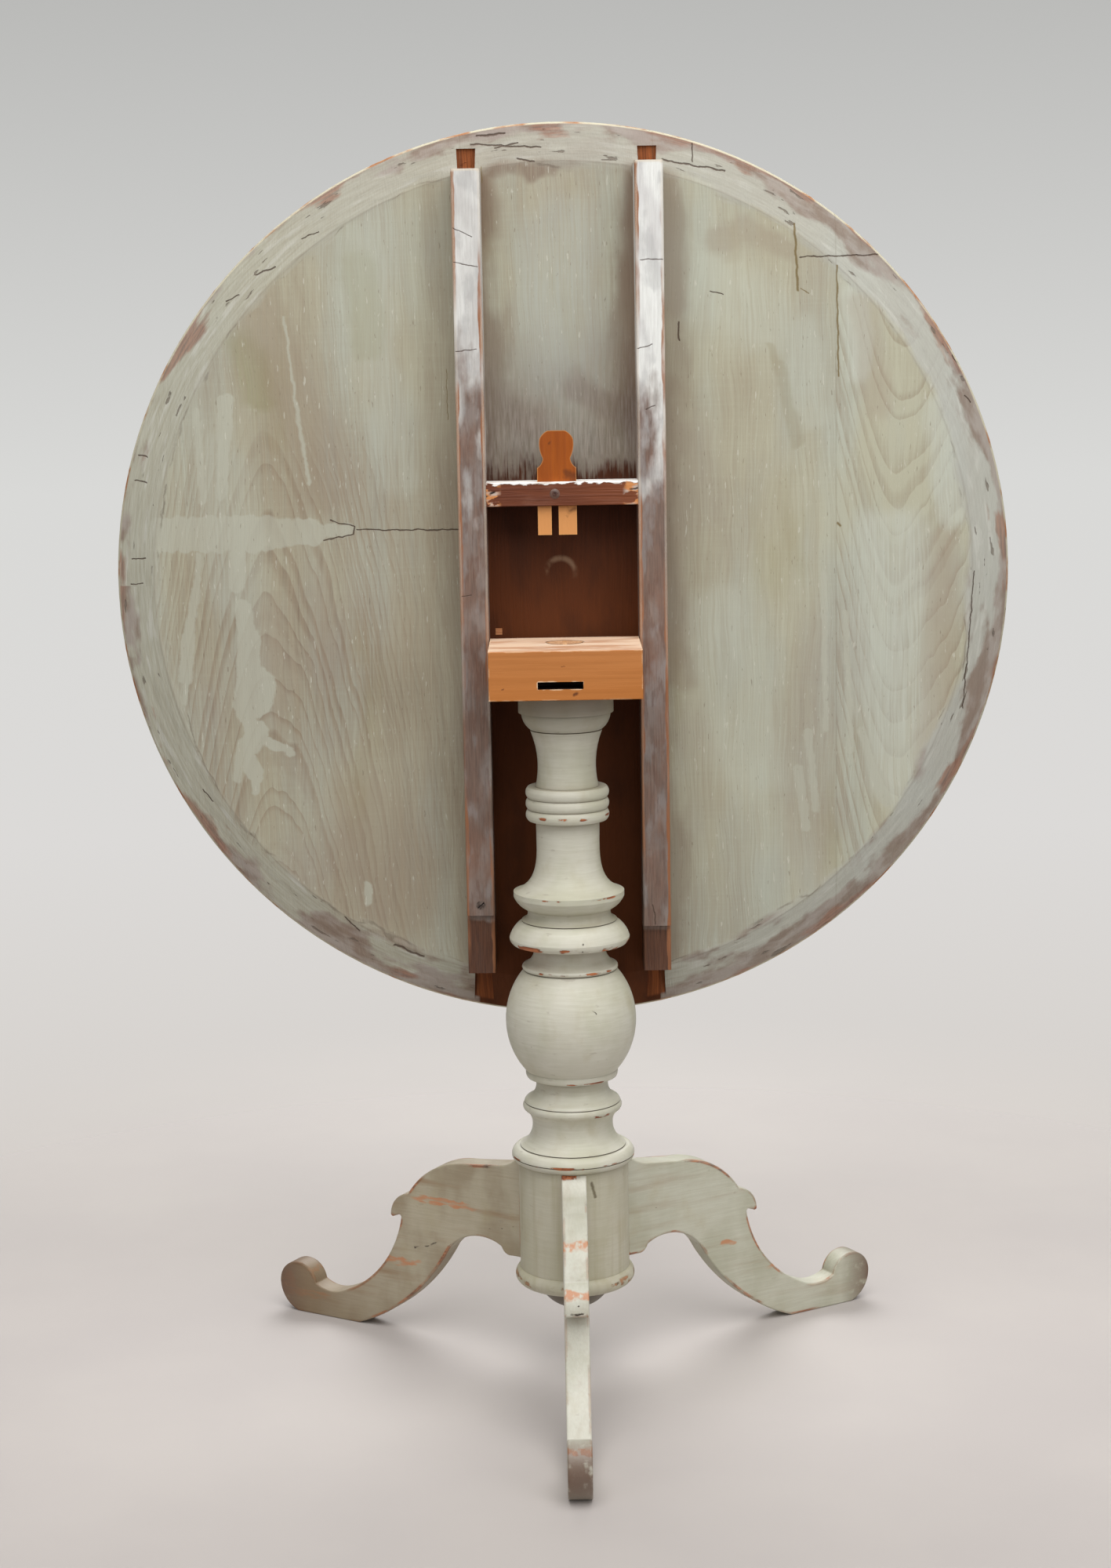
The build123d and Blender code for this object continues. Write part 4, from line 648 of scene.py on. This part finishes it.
def batten_finish(name, seed, step, middle, worn_from, paints_with_painted_light, splits):
    """White paint on a bar, worn brown from a height downwards, with cross splits and rubbed front edges."""
    # Chalky white above that breaks up into purplish brown below.
    material, tree, place = start_finish("worn_white_paint_on_" + name)
    x, y, z = (add(tree, "SeparateXYZ", {0: place}, out=axis) for axis in "XYZ")
    hairs = blotches(tree, place, 1.8, 0.3, 0.75, (1, 1, 0.06), seed, 4.0)
    wood = lay(tree, "#725443", hairs, "#594032")
    warm = blotches(tree, place, 30, 0.45, 0.7, (1, 1, 0.4), seed + 2.0, 5.0)
    wood = lay(tree, wood, warm, "#7d5138", 0.55)
    greyed = blotches(tree, place, 22, 0.42, 0.68, (1, 1, 0.5), seed + 3.0, 6.0)
    wood = lay(tree, wood, greyed, "#877d77", 0.6)
    paint = lay(tree, paints_with_painted_light[0], blotches(tree, place, 26, 0.35, 0.7, (1, 1, 0.5), seed + 4.0, 5.0),
                paints_with_painted_light[1])
    paint = lay(tree, paint, hairs, "#9d9690", 0.25)
    rub = blotches(tree, place, 24, 0.2, 0.8, (1, 1, 0.4), seed + 6.0, 9.0)
    down = add(tree, "MapRange", {0: z, 1: worn_from + 0.13, 2: worn_from - 0.25, 3: -0.75, 4: 0.75})
    rub = add(tree, "Math", {0: rub, 1: down}, operation="ADD")
    rubbed = add(tree, "MapRange", {0: rub, 1: 0.3, 2: 0.8, 4: 0.92})
    colour = lay(tree, paint, rubbed, wood)
    bluish = blotches(tree, place, 16, 0.52, 0.64, (1, 1, 0.4), seed + 12.0, 6.0)
    colour = lay(tree, colour, bluish, "#9b9a99", 0.32)
    flecks = blotches(tree, place, 4, 0.52, 0.66, (1, 1, 0.2), seed + 11.0, 7.0)
    flecks = add(tree, "Math", {0: flecks, 1: rubbed}, operation="MULTIPLY")
    colour = lay(tree, colour, flecks, "#664a3e", 0.5)
    # Below the step the paint ends in a short pale lip, and the wood is brown.
    ragged = add(tree, "Math", {0: greyed, 1: 0.004, 2: z}, operation="MULTIPLY_ADD")
    lip = add(tree, "MapRange", {0: ragged, 1: step - 0.0030, 2: step - 0.0060, 4: 0.92})
    end_wood = lay(tree, "#5f3b27", hairs, "#44281a")
    colour = lay(tree, colour, lip, end_wood)
    # Front edges: a thread of cream, partly thick paint and partly a painted highlight on the rounded edge,
    # and orange wood beside it.
    side = apart(tree, x, middle)
    front = add(tree, "MapRange", {0: y, 1: BATTEN_FRONT + 0.009, 2: BATTEN_FRONT + 0.006})
    shake = blotches(tree, place, 12, 0.2, 0.8, (1, 1, 0.3), seed + 7.0, 5.0)
    shake = add(tree, "Math", {0: shake, 1: 0.003, 2: side}, operation="MULTIPLY_ADD")
    band = add(tree, "MapRange", {0: shake, 1: BATTEN_HALF - 0.0022, 2: BATTEN_HALF - 0.0012})
    broken = blotches(tree, place, 30, 0.42, 0.58, (1, 1, 0.2), seed + 9.0, 6.0)
    band = add(tree, "Math", {0: band, 1: broken}, operation="MULTIPLY")
    band = add(tree, "Math", {0: band, 1: front}, operation="MULTIPLY")
    colour = lay(tree, colour, band, "#93603f")
    rubbing = blotches(tree, place, 24, 0.22, 0.5, (1, 1, 0.2), seed + 8.0, 5.0)
    edge = add(tree, "Math", {0: arrises(tree, 0.004), 1: rubbing}, operation="MULTIPLY")
    # Cream line on the edges: thick paint and a painted highlight.
    kept = add(tree, "MapRange", {0: z, 1: step, 2: worn_from - 0.15, 3: 0.0, 4: 0.9})
    line = add(tree, "MapRange", {0: edge, 1: 0.36, 2: 0.5, 4: kept})
    colour = lay(tree, colour, line, "#d6cbb9")
    cuts = strokes(tree, place, [(a, b, 0.7) for a, b in zip(splits[::2], splits[1::2])], (0.004, 0.0, 0.004))
    colour = lay(tree, colour, cuts, "#4c3a30", 0.8)
    height = add(tree, "Math", {0: rubbed, 1: -0.5, 2: hairs}, operation="MULTIPLY_ADD")
    height = add(tree, "Math", {0: cuts, 1: -1.5, 2: height}, operation="MULTIPLY_ADD")
    close_finish(tree, colour, 0.55, height, 0.0003, 0.35)
    return material


for name, look in BATTEN_LOOK.items():
    dress(batten_finish(name, **look), name)


# Fixings: one slotted iron screw through the left batten, smeared with paint, and the low-headed nail in the
# latch rail, stained with the rail so that only a worn arc of its head shines.
# Near-black brown with a weak sheen, smeared with paint, and painted shade darkening the slot.
iron, tree, place = start_finish("dark_handled_iron")
smear = blotches(tree, place, 3, 0.42, 0.62, (1, 1, 1), 0.0, 5.0)
colour = lay(tree, "#6d5f56", smear, "#4a3a32")
colour = lay(tree, colour, hollows(tree, 0.003), "#1d1512")
close_finish(tree, colour, add(tree, "MapRange", {0: smear, 3: 0.42, 4: 0.7}), smear, 0.0003)
dress(iron, "batten_screw")

# Brown like the rail, with a faint grey rim where the latch rubs.
nail_iron, tree, place = start_finish("stained_iron_nail")
smear = blotches(tree, place, 4, 0.42, 0.62, (1, 1, 1), 3.0, 5.0)
colour = lay(tree, "#4d2a1b", smear, "#381f15")
worn = add(tree, "MapRange", {0: arrises(tree, 0.0015), 1: 0.6, 2: 0.95, 4: 0.3})
colour = lay(tree, colour, worn, "#8d7468")
close_finish(tree, colour, 0.45, smear, 0.0003)
dress(nail_iron, "latch_nail")


# Pivot pins and plug: short pine dowels, the pins glued in the battens and turning in the block, and a small
# square peg in the bare bay.
# Plain light brown, rounder and drier to the eye than the boards.
peg_pine, tree, place = start_finish("bare_pine_pegs")
wood, relief = bare_pine(tree, place, (0.1, 1, 1), "#c58a5a", "#9c5f34", 3)
close_finish(tree, wood, 0.65, relief, 0.0003)
dress(peg_pine, "pivot_pin_left", "pivot_pin_right", "underside_plug")


# Latch rail: a stained pine crossbar between the battens that carries the latch. Its top face kept its white
# paint, its front is rubbed reddish brown, and its ends are chipped to orange wood.
RAIL_CHIPS, RAIL_HALF = 0.056, 0.074
# Reddish brown in front under a flaking white edge.
rail_stain, tree, place = start_finish("worn_red_stain_on_pine")
x, z = (add(tree, "SeparateXYZ", {0: place}, out=axis) for axis in "XZ")
up = add(tree, "SeparateXYZ", {0: add(tree, "TexCoord", out="Normal")}, out="Z")
hairs = blotches(tree, place, 2.4, 0.3, 0.75, (0.05, 1, 1), 0.3, 4.0)
stain = lay(tree, "#6d3a23", hairs, "#5a2d1b")
rightward = add(tree, "MapRange", {0: x, 1: -0.02, 2: 0.06, 4: 0.4})
stain = lay(tree, stain, rightward, "#8a4d2b")
pinkish = blotches(tree, place, 16, 0.5, 0.7, (0.4, 1, 1), 3.0, 5.0)
stain = lay(tree, stain, pinkish, "#835845", 0.35)
end = add(tree, "MapRange", {0: add(tree, "Math", {0: x}, operation="ABSOLUTE"), 1: RAIL_CHIPS, 2: RAIL_HALF})
chips = add(tree, "Math", {0: end, 1: blotches(tree, place, 9, 0.42, 0.54, (0.5, 1, 1), 5.0, 6.0)},
            operation="MULTIPLY")
chipped = lay(tree, "#c9854c", blotches(tree, place, 6, 0.42, 0.6, (0.4, 1, 1), 8.0, 5.0), "#b9a79a")
stain = lay(tree, stain, add(tree, "MapRange", {0: chips, 1: 0.2, 2: 0.45}), chipped)
gouges = strokes(tree, place, (((-75, 112, 887), (-67, 112, 889), 1.6),
                               ((66, 112, 890), (75, 112, 892), 1.6)), (0.012, 0.012, 0.012))
stain = lay(tree, stain, gouges, "#24130b")
flaked = add(tree, "Math", {0: blotches(tree, place, 4, 0.2, 0.8, (0.4, 1, 1), 9.0, 8.0), 1: 0.0045, 2: z},
             operation="MULTIPLY_ADD")
on_top = add(tree, "MapRange", {0: flaked, 1: RAIL_TOP, 2: RAIL_TOP + 0.0008})
facing = add(tree, "MapRange", {0: up, 1: 0.75, 2: 0.95})
on_top = add(tree, "Math", {0: on_top, 1: facing}, operation="MAXIMUM")
white = lay(tree, "#fbf8f3", blotches(tree, place, 9, 0.5, 0.66, (0.3, 1, 1), 9.0, 5.0), "#cdbdb0")
colour = lay(tree, stain, on_top, white)
relief = add(tree, "Math", {0: on_top, 1: 1.5, 2: hairs}, operation="MULTIPLY_ADD")
close_finish(tree, colour, 0.5, relief, 0.0003, 0.3)
dress(rail_stain, "latch_rail")


# Latch: a thin sawn pine slide with a shaped head and two prongs, worn to a warm orange by handling.
# It runs in the rail and drops into the block's slot to lock the top level.
RAIL_FOOT = 0.878
# Saturated orange with darker handling stains, the prongs paler.
latch_pine, tree, place = start_finish("handled_orange_pine")
z = add(tree, "SeparateXYZ", {0: place}, out="Z")
wood, relief = bare_pine(tree, place, (1, 1, 0.06), "#9e500f", "#8d440a", 5)
low = add(tree, "MapRange", {0: z, 1: RAIL_FOOT, 2: RAIL_FOOT - 0.006, 4: 0.85})
wood = lay(tree, wood, low, "#dd9c5e")
stains = strokes(tree, place, (((4, 118, 906), (13, 118, 902), 7.0), ((8, 118, 868), (10, 118, 872), 5.0),
                               ((-14, 118, 934), (-12, 118, 935), 2.0)), (0.016, 0.016, 0.016), 5.0)
wood = lay(tree, wood, stains, "#4a2410", 0.6)
edge = add(tree, "MapRange", {0: arrises(tree, 0.0015), 1: 0.4, 2: 0.8})
wood = lay(tree, wood, edge, "#e0a868", 0.5)
close_finish(tree, wood, 0.5, relief, 0.0003, 0.3)
dress(latch_pine, "latch")


# Studio: a pale paper floor that melts into an even pale surround, lit from above the camera by one wide soft
# lamp and from both sides by weaker ones.
FLOOR_RADIUS, FLOOR_SIDES, FLOOR_FADE = 6.0, 64, (0.5, 1.6)
floor_mesh = bpy.data.meshes.new("floor")
turns = [math.tau * i / FLOOR_SIDES for i in range(FLOOR_SIDES)]
rim = [(FLOOR_RADIUS * math.cos(turn), FLOOR_RADIUS * math.sin(turn), 0) for turn in turns]
floor_mesh.from_pydata(rim, [], [list(range(FLOOR_SIDES))])
floor = bpy.data.objects.new("floor", floor_mesh)
bpy.context.scene.collection.objects.link(floor)
# A pale warm grey without edges, so only the contact shadows show.
paper, tree, place = start_finish("pale_studio_paper")
away = add(tree, "VectorMath", {0: place}, out="Value", operation="LENGTH")
fade = add(tree, "MapRange", {0: away, 1: FLOOR_FADE[0], 2: FLOOR_FADE[1]}, interpolation_type="SMOOTHSTEP")
mottle = lay(tree, "#bbb4af", blotches(tree, place, 300, 0.3, 0.7), "#b6afab")
shader = add(tree, "BsdfPrincipled", {"Base Color": mottle, "Roughness": 0.7})
clear = add(tree, "BsdfTransparent")
add(tree, "OutputMaterial", {"Surface": add(tree, "MixShader", {0: fade, 1: shader, 2: clear})})
floor_mesh.materials.append(paper)
floor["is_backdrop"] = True

world = bpy.data.worlds.new("studio")
bpy.context.scene.world = world
world.use_nodes = True
tree = world.node_tree
tree.nodes.clear()
upward = add(tree, "SeparateXYZ", {0: add(tree, "TexCoord", out="Generated")}, out="Z")
level = add(tree, "MapRange", {0: upward, 1: -0.40, 2: 0.14})
seen = add(tree, "ValToRGB", {0: level}, stops=((0.0, "#d2ccc7"), (0.2, "#d5d0cb"), (0.42, "#dcdad8"),
                                                (0.65, "#d9d9d7"), (1.0, "#b7b7b5")))
shown = add(tree, "Background", {"Color": seen, "Strength": 1.0})
fill = add(tree, "Background", {"Color": srgb("#e8e8e8"), "Strength": 0.34})
camera_ray = add(tree, "LightPath", out="Is Camera Ray")
add(tree, "OutputWorld", {"Surface": add(tree, "MixShader", {0: camera_ray, 1: fill, 2: shown})})

LAMPS = (
    ("overhead_softbox", (0.15, -0.95, 2.75), (0.0, 0.05, 0.45), 2.8, 73.0),
    ("right_softbox", (2.3, -2.3, 1.5), (0.0, 0.1, 0.6), 1.6, 22.0),
    ("left_softbox", (-2.3, -2.3, 1.5), (0.0, 0.1, 0.6), 1.6, 13.0),
    ("backdrop_softbox", (0.0, 2.0, 1.7), (0.0, 2.0, 0.0), 2.0, 50.0),
)
for name, spot, aim, size, watts in LAMPS:
    lamp = bpy.data.lights.new(name, "AREA")
    lamp.shape = "DISK"
    lamp.size = size
    lamp.energy = watts
    holder = bpy.data.objects.new(name, lamp)
    holder.location = spot
    holder.rotation_euler = (Vector(aim) - Vector(spot)).to_track_quat("-Z", "Y").to_euler()
    bpy.context.scene.collection.objects.link(holder)

CAMERA_SPOT, PITCH_DOWN, ROLL = (-0.0115, -2.5680, 1.0287), 9.153, -1.0
SENSOR_HEIGHT, FOCAL_LENGTH = 36.0, 62.1
camera = bpy.data.objects.new("camera", bpy.data.cameras.new("camera"))
camera.data.sensor_fit = "VERTICAL"
camera.data.sensor_height = SENSOR_HEIGHT
camera.data.lens = FOCAL_LENGTH
pitch = Matrix.Rotation(math.radians(90 - PITCH_DOWN), 4, "X")
camera.matrix_world = Matrix.Translation(CAMERA_SPOT) @ pitch @ Matrix.Rotation(math.radians(ROLL), 4, "Z")
bpy.context.scene.collection.objects.link(camera)
bpy.context.scene.camera = camera
bpy.context.scene.view_settings.view_transform = "Standard"

low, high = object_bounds()
